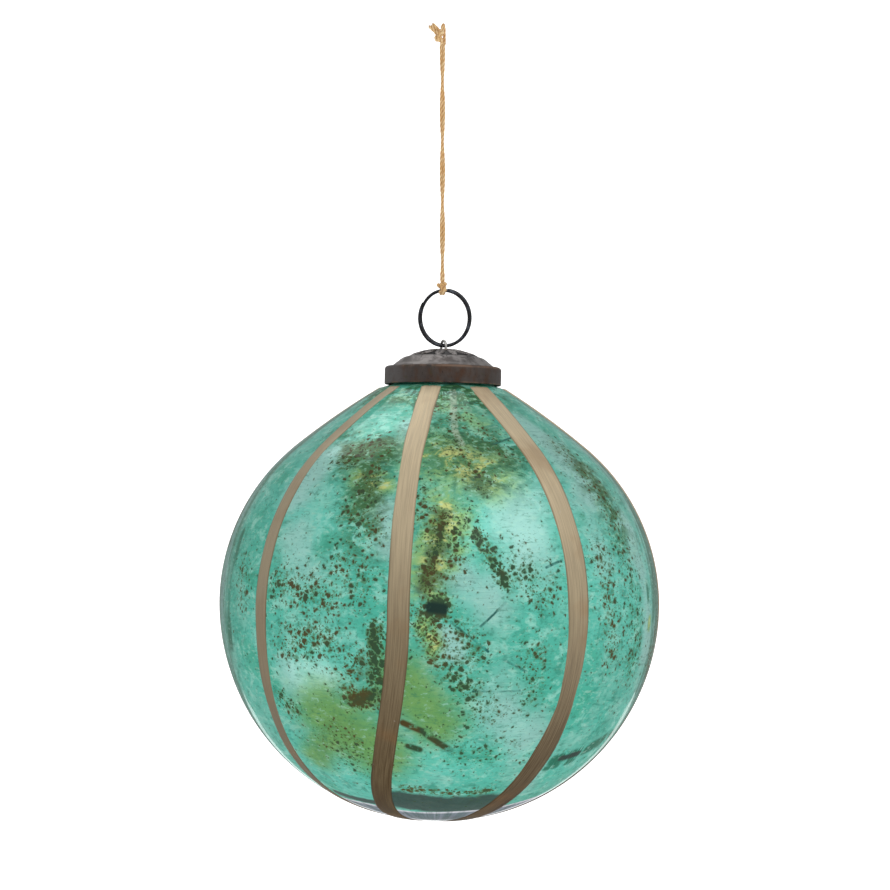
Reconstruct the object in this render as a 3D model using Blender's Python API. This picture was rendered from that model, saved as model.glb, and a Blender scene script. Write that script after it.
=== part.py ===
"""Blown glass ball ornament with painted stripes, a metal cap, a split ring and a hanging cord.

The origin is the inside of the cord's top loop, where a hook carries the ornament. +Z is up and
-Y is the front. Each moving piece hangs from an empty that lies on its joint's axis.
"""

import math

import bmesh
import bpy
from mathutils import Matrix, Vector

MM = 0.001
GAP = 0.3 * MM

# Glass ball. Its outline is half an ellipse, then a tighter arc, then a long shallow shoulder.
BALL_RADIUS = 63.5 * MM
BALL_SQUASH = 0.985
UPPER_ARC_SHIFT = 5.0 * MM
UPPER_ARC_END = 51.0
SHOULDER_RADIUS = 230.0 * MM
SHOULDER_END = 58.2
GLASS_WALL = 1.8 * MM
NECK_RADIUS = 14.6 * MM
NECK_TOP = 66.7 * MM
NECK_RIM = 0.9 * MM
# Where the shoulder turns up into the neck: distance outside the neck's wall and height, in millimetres.
NECK_FOOT_OUTSIDE = ((1.8, 62.75), (0.4, 63.3), (0.0, 64.2))
NECK_FOOT_INSIDE = ((1.8, 61.2), (0.3, 62.2), (0.0, 63.2))
LINING_WALL = 0.25 * MM
LINING_GAP = 0.6 * MM

# Painted stripes: longitude at the equator, drift to the foot, drift to the cap (degrees), width.
STRIPES = (
    (-49.3, -13.0, 0.3, 4.7 * MM),
    (-9.5, -17.0, -0.9, 6.0 * MM),
    (35.9, -3.5, -2.2, 7.0 * MM),
    (83.5, -8.0, -2.0, 6.6 * MM),
    (129.0, -11.0, 3.0, 5.4 * MM),
    (174.0, -9.0, -1.0, 7.0 * MM),
    (219.0, -12.0, 2.0, 5.6 * MM),
    (264.0, -10.0, 4.0, 6.2 * MM),
)
STRIPE_LIFT = 0.35 * MM
STRIPE_THICKNESS = 0.3 * MM
STRIPE_FOOT = -80.0
DRIFT_LATITUDE = 60.0

# Cap: a collar band with a pressed dome seated under its lip.
BAND_RADIUS = 16.95 * MM
BAND_HEIGHT = 5.3 * MM
BAND_WALL = 0.7 * MM
BAND_ROUND = 1.0 * MM
BAND_ABOVE_CENTRE = 63.3 * MM
LIP_RADIUS = 15.3 * MM
DOME_RADIUS = 14.9 * MM
DOME_RISE = 5.2 * MM
DOME_WALL = 0.5 * MM
DOME_HOLE = 2.3 * MM
FLANGE_RADIUS = 15.9 * MM
FLANGE_DROP = 1.0 * MM
DOME_SEAT_GAP = 0.1 * MM
CEMENT_GAP = 0.35 * MM
CEMENT_LOW = 64.0 * MM
CEMENT_HIGH = 66.5 * MM

# Split ring, wound flat in two layers and a little oval.
RING_WIRE = 0.85 * MM
RING_HALF_WIDE = 7.2 * MM
RING_HALF_TALL = 8.05 * MM
RING_LAYER = 0.475 * MM
RING_CENTRE_X = 0.4 * MM
RING_LAYER_SHIFT = Vector((0.16, 0.0, 0.12)) * MM
RING_CUT_ANGLE = 146.0
RING_CROSSING_START = 450.0
RING_CROSSING_END = 506.0
RING_END_ANGLE = 806.0
RING_STEPS = 78

# Eyelet: a wire arch whose legs pass through the dome and spread under it.
EYELET_WIRE = 0.75 * MM
EYELET_ARCH = 1.675 * MM
EYELET_DROP = 0.25 * MM
EYELET_TURN = 24.0
EYELET_LEG_END = -1.7 * MM
EYELET_BEND = 1.0 * MM
# Where the legs spread under the dome: distance from the arch's middle and height, in millimetres.
EYELET_SPREAD = ((5.0, -3.05), (8.0, -3.6))

# Cord: one loop of thin cord whose two legs are twisted round each other.
CORD_D = 0.78 * MM
LEG_APART = 1.1 * MM
LEG_AXIS_X = -0.3 * MM
HALF_TURN = 17.55 * MM
CROSSING_Z = -16.1 * MM
CORD_STEP = 2.2 * MM
LOOP_STEP = 0.8 * MM
LEG_A_TOP = -5.5 * MM
LEG_B_TOP = -6.0 * MM
KNOT_CENTRE = Vector((-1.3, -0.3, -3.3)) * MM
KNOT_SIZE = Vector((1.25, 1.0, 1.7)) * MM
THROAT_RADIUS = 0.6 * MM
WRAP_LENGTH = 2.6 * MM
WRAP_WALL = 0.6 * MM
# The wrap's sleeve from end to end: share of its length, and share of its wall.
WRAP_PROFILE = ((-0.5, 0.0), (-0.5, 0.55), (-0.35, 1.0), (0.35, 1.0), (0.5, 0.55), (0.5, 0.0))
WRAP_GAP_ACROSS = GAP + 0.05 * MM
WRAP_GAP_UP = GAP + 0.1 * MM

# The loop above leg B, from the twist up over the hook and down to the front of the knot.
TOP_LOOP = (
    (0.36, 0.50, -4.9),
    (0.45, 1.10, -3.6),
    (0.40, 1.55, -2.2),
    (0.20, 1.50, -0.9),
    (0.05, 0.90, 0.05),
    (0.00, 0.00, 0.39),
    (-0.15, -0.85, 0.10),
    (-0.40, -1.40, -0.60),
    (-0.75, -1.40, -1.30),
    (-0.95, -1.15, -1.75),
)
# Both tails leave the knot up to the left, side by side.
TAILS = (
    ((-2.50, -0.30, -1.60), (-3.05, -0.35, -1.05), (-3.60, -0.32, -0.60), (-4.10, -0.25, -0.10)),
    ((-1.75, -0.30, -0.85), (-2.25, -0.35, -0.30), (-2.70, -0.40, 0.10), (-3.15, -0.40, 0.55)),
)

# Heights below the hook.
PIVOT_Z = -74.7 * MM
RING_TOP_Z = PIVOT_Z - 2.2 * MM
RING_BOTTOM_Z = RING_TOP_Z - 2 * RING_HALF_TALL
CAP_TOP = -1.0 * MM
BALL_CENTRE = CAP_TOP - DOME_RISE - BAND_HEIGHT - BAND_ABOVE_CENTRE
LEAN = 1.0


def clear_scene():
    for thing in list(bpy.data.objects):
        bpy.data.objects.remove(thing, do_unlink=True)


def material(name, colour, roughness, metallic=0.0):
    made = bpy.data.materials.new(name)
    made.use_nodes = True
    shader = made.node_tree.nodes["Principled BSDF"]
    shader.inputs["Base Color"].default_value = (*colour, 1.0)
    shader.inputs["Roughness"].default_value = roughness
    shader.inputs["Metallic"].default_value = metallic
    return made


def empty(name, place, turn=(0.0, 0.0, 0.0)):
    made = bpy.data.objects.new(name, None)
    made.location = place
    made.rotation_euler = turn
    bpy.context.collection.objects.link(made)
    return made


def add_mesh(name, mesh, look, parent, place, turn=(0.0, 0.0, 0.0)):
    mesh.materials.append(look)
    made = bpy.data.objects.new(name, mesh)
    made.location = place
    made.rotation_euler = turn
    made.parent = parent
    bpy.context.collection.objects.link(made)
    return made


def finish_mesh(shape, name, sharp=40.0):
    """A mesh from a bmesh, with its faces pointing out and its round sides smooth."""
    bmesh.ops.recalc_face_normals(shape, faces=shape.faces)
    mesh = bpy.data.meshes.new(name)
    shape.to_mesh(mesh)
    shape.free()
    mesh.shade_smooth()
    mesh.set_sharp_from_angle(angle=math.radians(sharp))
    return mesh


def turned(name, outline, closed, segments):
    """Spins an outline of (radius, height) points round Z."""
    shape = bmesh.new()
    points = [shape.verts.new((r, 0.0, z)) for r, z in outline]
    ends = points[1:] + points[:1] if closed else points[1:]
    edges = [shape.edges.new(pair) for pair in zip(points, ends)]
    bmesh.ops.spin(
        shape,
        geom=points + edges,
        cent=(0, 0, 0),
        axis=(0, 0, 1),
        angle=math.tau,
        steps=segments,
        use_merge=True,
    )
    bmesh.ops.remove_doubles(shape, verts=shape.verts, dist=1e-6)
    return finish_mesh(shape, name)


def arc(centre, radius, start, end, steps):
    """Points on an arc in a turned outline, angles in degrees from the outward direction."""
    angles = [math.radians(start + (end - start) * i / steps) for i in range(steps + 1)]
    return [(centre[0] + radius * math.cos(a), centre[1] + radius * math.sin(a)) for a in angles]


def smooth_route(route, step):
    """Evenly spaced points on a Catmull-Rom curve through the route's points."""
    padded = [2 * route[0] - route[1], *route, 2 * route[-1] - route[-2]]
    fine = []
    for a, b, c, d in zip(padded, padded[1:], padded[2:], padded[3:]):
        for i in range(12):
            t = i / 12
            fine.append(
                0.5 * (2 * b + (c - a) * t + (2 * a - 5 * b + 4 * c - d) * t**2)
                + 0.5 * (3 * b - a - 3 * c + d) * t**3
            )
    fine.append(route[-1].copy())
    spaced, run = [fine[0]], 0.0
    for before, here in zip(fine, fine[1:]):
        run += (here - before).length
        if run >= step:
            spaced.append(here)
            run = 0.0
    if (spaced[-1] - fine[-1]).length < 0.5 * step:
        spaced.pop()
    return spaced + [fine[-1]]


def wire(name, points, diameter, look, parent, sides=2):
    """A round tube through the points, with filled ends."""
    curve = bpy.data.curves.new(name, "CURVE")
    curve.dimensions = "3D"
    curve.bevel_depth = diameter / 2
    curve.bevel_resolution = sides
    curve.use_fill_caps = True
    spline = curve.splines.new("POLY")
    spline.points.add(len(points) - 1)
    for spot, point in zip(spline.points, points):
        spot.co = (*point, 1.0)
    curve.materials.append(look)
    made = bpy.data.objects.new(name, curve)
    made.parent = parent
    bpy.context.collection.objects.link(made)
    return made


def glass_point(angle, out=0.0):
    """(radius, height) on the ball's outline, a distance outside it, from the ball's centre.

    angle is the direction of the outline's normal, in degrees above the horizontal.
    """
    turn = math.radians(angle)
    direction = (math.cos(turn), math.sin(turn))
    upper = BALL_RADIUS - UPPER_ARC_SHIFT
    if angle <= 0:
        base = (BALL_RADIUS * direction[0], BALL_SQUASH * BALL_RADIUS * direction[1])
    elif angle <= UPPER_ARC_END:
        base = (UPPER_ARC_SHIFT + upper * direction[0], upper * direction[1])
    else:
        join = math.radians(UPPER_ARC_END)
        inset = SHOULDER_RADIUS - upper
        base = (
            UPPER_ARC_SHIFT - inset * math.cos(join) + SHOULDER_RADIUS * direction[0],
            -inset * math.sin(join) + SHOULDER_RADIUS * direction[1],
        )
    return base[0] + out * direction[0], base[1] + out * direction[1]


def outline_angles(foot, lower, upper, shoulder):
    """Angles along the outline from the foot to the neck, with a number of steps for each arc."""
    rising = [foot * (1 - i / lower) for i in range(lower)]
    middle = [UPPER_ARC_END * i / upper for i in range(upper)]
    span = SHOULDER_END - UPPER_ARC_END
    return rising + middle + [UPPER_ARC_END + span * i / shoulder for i in range(shoulder + 1)]


def shell_side(out, lower, upper, shoulder):
    """One side of the ball's wall, from the point under the foot up to the shoulder's end."""
    side = [glass_point(a, out) for a in outline_angles(-90.0, lower, upper, shoulder)]
    side[0] = (0.0, side[0][1])
    return side


def glass_ball(look, parent):
    outside = shell_side(0.0, 12, 7, 5)
    outside += [(NECK_RADIUS + x * MM, z * MM) for x, z in NECK_FOOT_OUTSIDE]
    rim = arc((NECK_RADIUS - NECK_RIM, NECK_TOP - NECK_RIM), NECK_RIM, 0, 180, 6)
    inner = NECK_RADIUS - GLASS_WALL
    inside = shell_side(-GLASS_WALL, 9, 5, 3)
    inside += [(inner + x * MM, z * MM) for x, z in NECK_FOOT_INSIDE]
    mesh = turned("glass_ball", outside + rim + inside[::-1], False, 48)
    return add_mesh("glass_ball", mesh, look, parent, (0, 0, BALL_CENTRE))


def silvered_lining(look, parent):
    """The mirror coat behind the glass, open at the neck."""
    outside = shell_side(-GLASS_WALL - LINING_GAP, 8, 4, 2)
    inside = shell_side(-GLASS_WALL - LINING_GAP - LINING_WALL, 8, 4, 2)
    mesh = turned("silvered_lining", outside + inside[::-1], False, 28)
    return add_mesh("silvered_lining", mesh, look, parent, (0, 0, BALL_CENTRE))


def stripe_longitude(angle, stripe):
    """A stripe's longitude where the outline's normal has this angle; 0 faces the front."""
    start, to_foot, to_cap, _ = stripe
    drift = to_foot if angle < 0 else to_cap
    return math.radians(start + drift * (angle / DRIFT_LATITUDE) ** 2)


def stripe_corners(angle, stripe):
    """The four corners of a stripe's section: inner left and right, outer right and left."""
    centre = stripe_longitude(angle, stripe)
    corners = []
    for side, lift in ((-1, 0.0), (1, 0.0), (1, STRIPE_THICKNESS), (-1, STRIPE_THICKNESS)):
        radius, height = glass_point(angle, STRIPE_LIFT + lift)
        across = centre + side * stripe[3] / 2 / radius
        corners.append((radius * math.sin(across), -radius * math.cos(across), height))
    return corners


def painted_stripe(number, stripe, look, parent):
    name = f"stripe_{number}"
    shape = bmesh.new()
    last = None
    for angle in outline_angles(STRIPE_FOOT, 11, 6, 4):
        ring = [shape.verts.new(corner) for corner in stripe_corners(angle, stripe)]
        if last is None:
            shape.faces.new(ring)
        else:
            for i in range(4):
                shape.faces.new((last[i], last[i - 1], ring[i - 1], ring[i]))
        last = ring
    shape.faces.new(last)
    mesh = finish_mesh(shape, name)
    return add_mesh(name, mesh, look, parent, (0, 0, BALL_CENTRE))


def cap_band(look, parent):
    inner = BAND_RADIUS - BAND_WALL
    corner = (BAND_RADIUS - BAND_ROUND, BAND_HEIGHT - BAND_ROUND)
    outline = [(inner, 0.0), (BAND_RADIUS, 0.0), *arc(corner, BAND_ROUND, 0, 90, 4)]
    outline += [(LIP_RADIUS, BAND_HEIGHT), (LIP_RADIUS, BAND_HEIGHT - BAND_WALL)]
    outline += [(inner, BAND_HEIGHT - BAND_WALL)]
    mesh = turned("cap_band", outline, True, 40)
    return add_mesh("cap_band", mesh, look, parent, (0, 0, BALL_CENTRE + BAND_ABOVE_CENTRE))


def dome_arc(radius, start, drop, steps):
    """Points on the dome's sphere from a distance start off the axis out to radius."""
    sphere = (DOME_RADIUS**2 + DOME_RISE**2) / (2 * DOME_RISE)
    reach = [start + (radius - start) * i / steps for i in range(steps + 1)]
    return [(r, math.sqrt(sphere**2 - r**2) - sphere - drop) for r in reach]


def cap_dome(look, parent):
    edge = -DOME_RISE - FLANGE_DROP
    inner = DOME_RADIUS - DOME_WALL - DOME_SEAT_GAP
    outline = dome_arc(DOME_RADIUS, DOME_HOLE, 0.0, 6)
    outline += [(DOME_RADIUS, edge), (FLANGE_RADIUS, edge), (FLANGE_RADIUS, edge - DOME_WALL)]
    outline += [(inner, edge - DOME_WALL)]
    outline += dome_arc(inner, DOME_HOLE, DOME_WALL, 5)[::-1]
    mesh = turned("cap_dome", outline, True, 40)
    return add_mesh("cap_dome", mesh, look, parent, (0, 0, CAP_TOP))


def cap_cement(look, parent):
    """The ring of cement that holds the collar on the glass neck."""
    inner = NECK_RADIUS + CEMENT_GAP
    outer = BAND_RADIUS - BAND_WALL - CEMENT_GAP
    outline = [(inner, CEMENT_LOW), (outer, CEMENT_LOW), (outer, CEMENT_HIGH), (inner, CEMENT_HIGH)]
    mesh = turned("cap_cement", outline, True, 32)
    return add_mesh("cap_cement", mesh, look, parent, (0, 0, BALL_CENTRE))


def eyelet(look, parent):
    """An arch over the ring's wire, with legs that turn outward under the dome."""
    turn = math.radians(EYELET_TURN)
    across = Vector((math.sin(turn), -math.cos(turn), 0.0))
    up = Vector((0.0, 0.0, 1.0))
    half = [(EYELET_ARCH * math.cos(a), EYELET_ARCH * math.sin(a) - EYELET_DROP)
            for a in (math.radians(90 - 11.25 * i) for i in range(9))]
    half += [(EYELET_ARCH, 0.5 * (EYELET_LEG_END - EYELET_DROP)), (EYELET_ARCH, EYELET_LEG_END)]
    half += [(EYELET_ARCH + EYELET_BEND * (1 - math.cos(a)), EYELET_LEG_END - EYELET_BEND * math.sin(a))
             for a in (math.radians(20 * i) for i in range(1, 5))]
    half += [(x * MM, z * MM) for x, z in EYELET_SPREAD]
    right = [across * x + up * z for x, z in half]
    left = [across * -x + up * z for x, z in half]
    return wire("eyelet", left[::-1] + right[1:], EYELET_WIRE, look, parent)


def ring_point(angle):
    """A point on the split ring's wire, from the ring's centre, with its layer's place in Y."""
    share = (angle - RING_CROSSING_START) / (RING_CROSSING_END - RING_CROSSING_START)
    share = min(max(share, 0.0), 1.0)
    layer = 2 * share**2 * (3 - 2 * share) - 1
    turn = math.radians(angle)
    flat = Vector((RING_HALF_WIDE * math.cos(turn), 0.0, RING_HALF_TALL * math.sin(turn)))
    return flat + Vector((0.0, RING_LAYER * layer, 0.0)) + RING_LAYER_SHIFT * layer


def split_ring(look, parent, place):
    span = RING_END_ANGLE - RING_CUT_ANGLE
    points = [place + ring_point(RING_CUT_ANGLE + span * i / RING_STEPS) for i in range(RING_STEPS + 1)]
    return wire("split_ring", points, RING_WIRE, look, parent)


def stadium(half_y, half_z, turn_steps):
    """A closed outline round the ring's two layers, in Y and Z."""
    radius = half_z
    points = []
    for side in (1, -1):
        for i in range(turn_steps + 1):
            turn = math.radians(-90 + 180 * i / turn_steps)
            points.append((side * (half_y - radius + radius * math.cos(turn)),
                           side * radius * math.sin(turn)))
    return points


def hitch_wrap(look, parent, place, tilt):
    """The turns of cord round the ring's top, as one sleeve with rounded ends."""
    half_y = RING_LAYER + RING_WIRE / 2 + WRAP_GAP_ACROSS
    half_z = RING_WIRE / 2 + WRAP_GAP_UP
    shape = bmesh.new()
    loops = []
    for along, grow in WRAP_PROFILE:
        wall = WRAP_WALL * grow
        loops.append([shape.verts.new((along * WRAP_LENGTH, y, z))
                      for y, z in stadium(half_y + wall, half_z + wall, 6)])
    count = len(loops[0])
    for first, second in zip(loops, loops[1:] + loops[:1]):
        for i in range(count):
            shape.faces.new((first[i - 1], first[i], second[i], second[i - 1]))
    mesh = finish_mesh(shape, "hitch_wrap", 60.0)
    return add_mesh("hitch_wrap", mesh, look, parent, place, (0.0, tilt, 0.0))


def ball_of_cord(name, size, look, parent, place):
    """A plain round lump of cord, as a stretched sphere."""
    shape = bmesh.new()
    bmesh.ops.create_icosphere(shape, subdivisions=2, radius=1.0, matrix=Matrix.Diagonal((*size, 1.0)))
    return add_mesh(name, finish_mesh(shape, name), look, parent, place)


def leg_point(height, side):
    """A point on one of the cord's two legs, which twist round each other."""
    turn = math.pi * (height - CROSSING_Z) / HALF_TURN + math.pi / 2
    swing = Vector((math.cos(turn), math.sin(turn), 0.0)) * (side * LEG_APART / 2)
    return Vector((LEG_AXIS_X, 0.0, height)) + swing


def leg_points(top, bottom, side):
    steps = round((top - bottom) / CORD_STEP)
    return [leg_point(top + (bottom - top) * i / steps, side) for i in range(steps + 1)]


def cord(look, parent):
    """The cord's legs, its loop over the hook, its knot and its tails."""
    bottom = PIVOT_Z + THROAT_RADIUS + GAP
    wire("cord_leg_a", leg_points(LEG_A_TOP, bottom, 1), CORD_D, look, parent)
    twist = leg_points(LEG_B_TOP, bottom, -1)[::-1]
    over = smooth_route([twist[-1], *(Vector(p) * MM for p in TOP_LOOP)], LOOP_STEP)
    wire("cord_leg_b", twist[:-1] + over, CORD_D, look, parent)
    ball_of_cord("top_knot", KNOT_SIZE, look, parent, KNOT_CENTRE)
    for number, route in enumerate(TAILS, 1):
        points = smooth_route([Vector(p) * MM for p in route], LOOP_STEP)
        wire(f"cord_tail_{number}", points, CORD_D, look, parent)


def ring_and_hitch(ring_look, cord_look, hinge):
    """The ring with the cord's turns round it, in the frame of the hinge above them."""
    ring_centre = Vector((RING_CENTRE_X, 0.0, RING_TOP_Z - RING_HALF_TALL - PIVOT_Z))
    split_ring(ring_look, hinge, ring_centre)
    aside = LEG_AXIS_X - RING_CENTRE_X
    rise = math.sqrt(1 - (aside / RING_HALF_WIDE) ** 2)
    slope = RING_HALF_TALL * -aside / (RING_HALF_WIDE**2 * rise)
    spot = ring_centre + Vector((aside, 0.0, RING_HALF_TALL * rise))
    hitch_wrap(cord_look, hinge, spot, -math.atan(slope))


def ornament(pivot):
    """The ball with its lining, stripes and cap."""
    glass = material("glass", (0.20, 0.60, 0.50), 0.05)
    silver = material("silvering", (0.75, 0.85, 0.80), 0.15, 1.0)
    paint = material("stripe_paint", (0.45, 0.33, 0.22), 0.4, 0.6)
    bronze = material("cap_bronze", (0.07, 0.05, 0.04), 0.35, 1.0)
    pewter = material("cap_pewter", (0.30, 0.29, 0.28), 0.4, 1.0)
    cement = material("cement", (0.65, 0.60, 0.50), 0.9)
    glass_ball(glass, pivot)
    silvered_lining(silver, pivot)
    for number, stripe in enumerate(STRIPES, 1):
        painted_stripe(number, stripe, paint, pivot)
    cap_band(bronze, pivot)
    cap_dome(pewter, pivot)
    cap_cement(cement, pivot)


def main():
    clear_scene()
    twine = material("cord", (0.62, 0.43, 0.20), 0.9)
    black_wire = material("ring_wire", (0.03, 0.03, 0.035), 0.35, 1.0)
    bright_wire = material("eyelet_wire", (0.45, 0.45, 0.44), 0.3, 1.0)
    hook = empty("hook_point", (0, 0, 0))
    cord(twine, hook)
    throat = empty("hitch_pivot", (LEG_AXIS_X, 0, PIVOT_Z))
    ball_of_cord("hitch_throat", (THROAT_RADIUS,) * 3, twine, throat, (0, 0, 0))
    hinge = empty("ring_hinge", (0, 0, PIVOT_Z))
    ring_and_hitch(black_wire, twine, hinge)
    fold = empty("eyelet_hinge", (0, 0, RING_BOTTOM_Z))
    eyelet(bright_wire, fold)
    pivot = empty("swivel", (0, 0, RING_BOTTOM_Z), turn=(0, math.radians(LEAN), 0))
    ornament(pivot)


main()
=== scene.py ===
"""Looks for the glass ball ornament: silvered aqua glass, painted stripes, aged cap, ring and cord.

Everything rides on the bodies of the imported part. Lengths are in metres, angles in degrees. Places on
the ball are a longitude (0 faces the front, + to the right) and the angle of the outline's normal.
"""

import math
import random

import bmesh
import bpy
import numpy as np
from mathutils import Matrix, Vector, noise


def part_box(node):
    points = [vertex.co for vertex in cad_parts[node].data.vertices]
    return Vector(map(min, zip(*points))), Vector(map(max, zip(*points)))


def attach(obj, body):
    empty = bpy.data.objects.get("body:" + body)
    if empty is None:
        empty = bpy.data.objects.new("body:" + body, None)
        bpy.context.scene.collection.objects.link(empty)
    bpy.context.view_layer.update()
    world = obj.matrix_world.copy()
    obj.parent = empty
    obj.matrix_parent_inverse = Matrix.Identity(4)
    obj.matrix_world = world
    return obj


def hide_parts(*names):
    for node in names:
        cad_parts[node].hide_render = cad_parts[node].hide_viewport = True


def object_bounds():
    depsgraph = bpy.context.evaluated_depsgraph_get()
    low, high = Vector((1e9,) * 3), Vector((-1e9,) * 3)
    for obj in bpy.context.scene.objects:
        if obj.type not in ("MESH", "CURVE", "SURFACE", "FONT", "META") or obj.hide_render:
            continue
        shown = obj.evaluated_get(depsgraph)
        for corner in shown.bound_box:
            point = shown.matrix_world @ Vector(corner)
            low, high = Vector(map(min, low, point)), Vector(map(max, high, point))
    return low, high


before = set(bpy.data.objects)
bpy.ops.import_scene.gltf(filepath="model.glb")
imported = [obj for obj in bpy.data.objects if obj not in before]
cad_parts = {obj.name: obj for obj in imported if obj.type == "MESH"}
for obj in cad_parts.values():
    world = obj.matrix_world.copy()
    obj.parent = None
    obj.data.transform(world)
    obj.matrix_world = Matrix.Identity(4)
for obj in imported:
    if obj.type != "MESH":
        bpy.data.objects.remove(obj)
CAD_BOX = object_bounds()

MM = 0.001

# Ball, as in the CAD: half an ellipse, a tighter arc, then a long shallow shoulder.
BALL_RADIUS = 63.5 * MM
BALL_SQUASH = 0.985
UPPER_ARC_SHIFT = 5.0 * MM
UPPER_ARC_END = 51.0
SHOULDER_RADIUS = 230.0 * MM
SHOULDER_END = 58.2
GLASS_WALL = 1.8 * MM
NECK_RADIUS = 14.6 * MM
NECK_TOP = 66.7 * MM
NECK_RIM = 0.9 * MM
# The curves from the shoulder into the neck, outside and inside: past the neck's radius, height; in mm.
NECK_FOOT_OUTSIDE = ((1.8, 62.75), (0.9, 63.0), (0.4, 63.3), (0.1, 63.7), (0, 64.2))
NECK_FOOT_INSIDE = ((1.8, 61.2), (0.3, 62.2), (0.0, 63.2))
BALL_COLUMNS = 288
LEAN = 1.0

# Stripes: longitude at the equator, drift to the foot, drift to the cap, width.
STRIPES = (
    (-49.3, -13.0, 0.3, 4.7 * MM),
    (-9.5, -17.0, -0.9, 6.0 * MM),
    (35.9, -3.5, -2.2, 7.0 * MM),
    (83.5, -8.0, -2.0, 6.6 * MM),
    (129.0, -11.0, 3.0, 5.4 * MM),
    (174.0, -9.0, -1.0, 7.0 * MM),
    (219.0, -12.0, 2.0, 5.6 * MM),
    (264.0, -10.0, 4.0, 6.2 * MM),
)
STRIPE_FOOT = -82.0
DRIFT_LATITUDE = 60.0
STRIPE_STEPS = 12
STRIPE_LIFT = 0.17 * MM
STRIPE_SUNK = 0.12 * MM
# Stripes that are greyer all along, and stripes with painted shade, dark brown, over their lower half.
STRIPE_ROSY = {1: 0.55}
STRIPE_LOWER_SHADE = {2: 0.30}

# Cap.
BAND_RADIUS = 16.95 * MM
BAND_HEIGHT = 5.3 * MM
BAND_WALL = 0.7 * MM
BAND_ABOVE_CENTRE = 63.3 * MM
BAND_ROUND_TOP = 1.0 * MM
BAND_ROUND_FOOT = 0.22 * MM
LIP_RADIUS = 15.3 * MM
DOME_RADIUS = 14.9 * MM
DOME_RISE = 5.2 * MM
DOME_WALL = 0.5 * MM
DOME_HOLE = 2.3 * MM
FLANGE_RADIUS = 15.9 * MM
FLANGE_DROP = 1.0 * MM
PETALS = 12
PETAL_REACH = (3.0 * MM, 10.4 * MM)
BAND_COLUMNS = 240
DOME_COLUMNS = 288
DOME_ROWS = 70

# Split ring and eyelet.
RING_WIRE = 0.95 * MM
RING_HALF_WIDE = 7.2 * MM
RING_HALF_TALL = 8.05 * MM
RING_LAYER = 0.475 * MM
RING_CENTRE_X = 0.4 * MM
RING_TOP_Z = -76.9 * MM
# Where the ring's wire starts and how far it winds, and where it starts to cross over and for how long.
RING_WINDING = (146.0, 660.0)
RING_CROSSING = (450.0, 56.0)
EYELET_WIRE = 0.75 * MM
EYELET_ARCH = 1.675 * MM
EYELET_DROP = 0.25 * MM
EYELET_TURN = 24.0
EYELET_BEND = 1.0 * MM
EYELET_LEG_END = -1.7 * MM
EYELET_SPREAD = ((5.0 * MM, -3.05 * MM), (8.0 * MM, -3.6 * MM))

# Cord.
CORD_D = 0.78 * MM
LEG_APART = 0.78 * MM
CORD_FLUFF = 1.14
LEG_AXIS_X = -0.3 * MM
HALF_TURN = 17.55 * MM
CROSSING_Z = -16.1 * MM
LEG_A_TOP = -5.5 * MM
LEG_B_TOP = -6.0 * MM
LEG_FOOT = -75.0 * MM
LEG_CLOSED = 0.4
LEG_CLOSING = 2.0 * MM
PIVOT_Z = -74.7 * MM
PLIES = 3
PLY_PITCH = 4.6 * MM
ROPE_COLUMNS = 14
STRAND_SHARE = 0.36
CORD_STEP = 0.2 * MM

# From the top of leg B over the hook and down to the knot; in millimetres.
TOP_LOOP = (
    (0.30, 0.50, -4.9), (0.28, 1.00, -3.6), (0.26, 1.30, -2.2), (0.24, 1.20, -0.9), (0.16, 0.75, 0.0),
    (0.00, 0.00, 0.36), (-0.20, -0.75, 0.05), (-0.34, -1.15, -0.75), (-0.38, -1.25, -1.60),
    (-0.45, -1.20, -2.40), (-0.78, -0.95, -3.00),
)
# From the loop's end through the knot to the top of leg A; in millimetres.
KNOT_PASS = ((-1.10, -0.5, -3.2), (-1.2, -0.1, -3.6), (-0.85, 0.15, -4.2), (-0.35, -0.1, -4.9))
# The knot's and the hitch's closed turns: axis, half width, half depth and thickness; in millimetres.
KNOT_UPPER_TURN = ((-0.8, -0.35, 0.45), 0.68, 0.60, 1.80)
KNOT_LOWER_TURN = ((0.5, -0.25, 0.8), 0.66, 0.60, 1.65)
HITCH_COLLAR_TURN = ((-0.22, 0.10, 1.0), 0.64, 0.60, 1.25)
HITCH_BIGHT_TURN = ((0.55, 0.1, 0.8), 0.80, 0.70, 1.1)
HITCH_TURN_D = 1.15 * MM
KNOT_STEP = 0.12 * MM
KNOT_PITCH = 2.4 * MM
# The strand across the knot, from its centre, and the two tails; in millimetres.
KNOT_STRAND = (
    (-0.75, -0.1, 1.5), (-0.35, -0.65, 1.2), (0.1, -0.95, 0.6), (0.15, -1.0, 0.0), (-0.15, -0.8, -0.6),
    (-0.6, -0.35, -0.95), (-0.7, 0.2, -0.8),
)
TAILS = (
    ((-1.9, -0.35, -2.3), (-2.45, -0.30, -1.65), (-2.98, -0.35, -1.12), (-3.46, -0.32, -0.70),
     (-3.9, -0.25, -0.3)),
    ((-1.4, -0.30, -1.5), (-1.85, -0.30, -0.95), (-2.32, -0.35, -0.42), (-2.75, -0.40, -0.02),
     (-3.15, -0.4, 0.3)),
)

# Camera: level, a little above the ball's centre.
CAMERA_BACK = 588.9 * MM
CAMERA_ABOVE_CENTRE = 36.0 * MM
CAMERA_LENS = 81.9
CAMERA_SHIFT = (0.0017, 0.0382)

# Softboxes: azimuth (0 is the front, + to the right), elevation, distance, width, height and watts.
SOFTBOXES = {
    "softbox_right": (42.0, 50.0, 1.2, 1.0, 1.0, 2.2),
    "softbox_left": (-74.0, -28.0, 1.2, 0.55, 0.25, 0.5),
    "softbox_back": (200.0, 60.0, 1.3, 0.9, 0.6, 2.0),
    "floor_glow": (180.0, -20.0, 1.2, 1.3, 0.10, 0.5),
}
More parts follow.
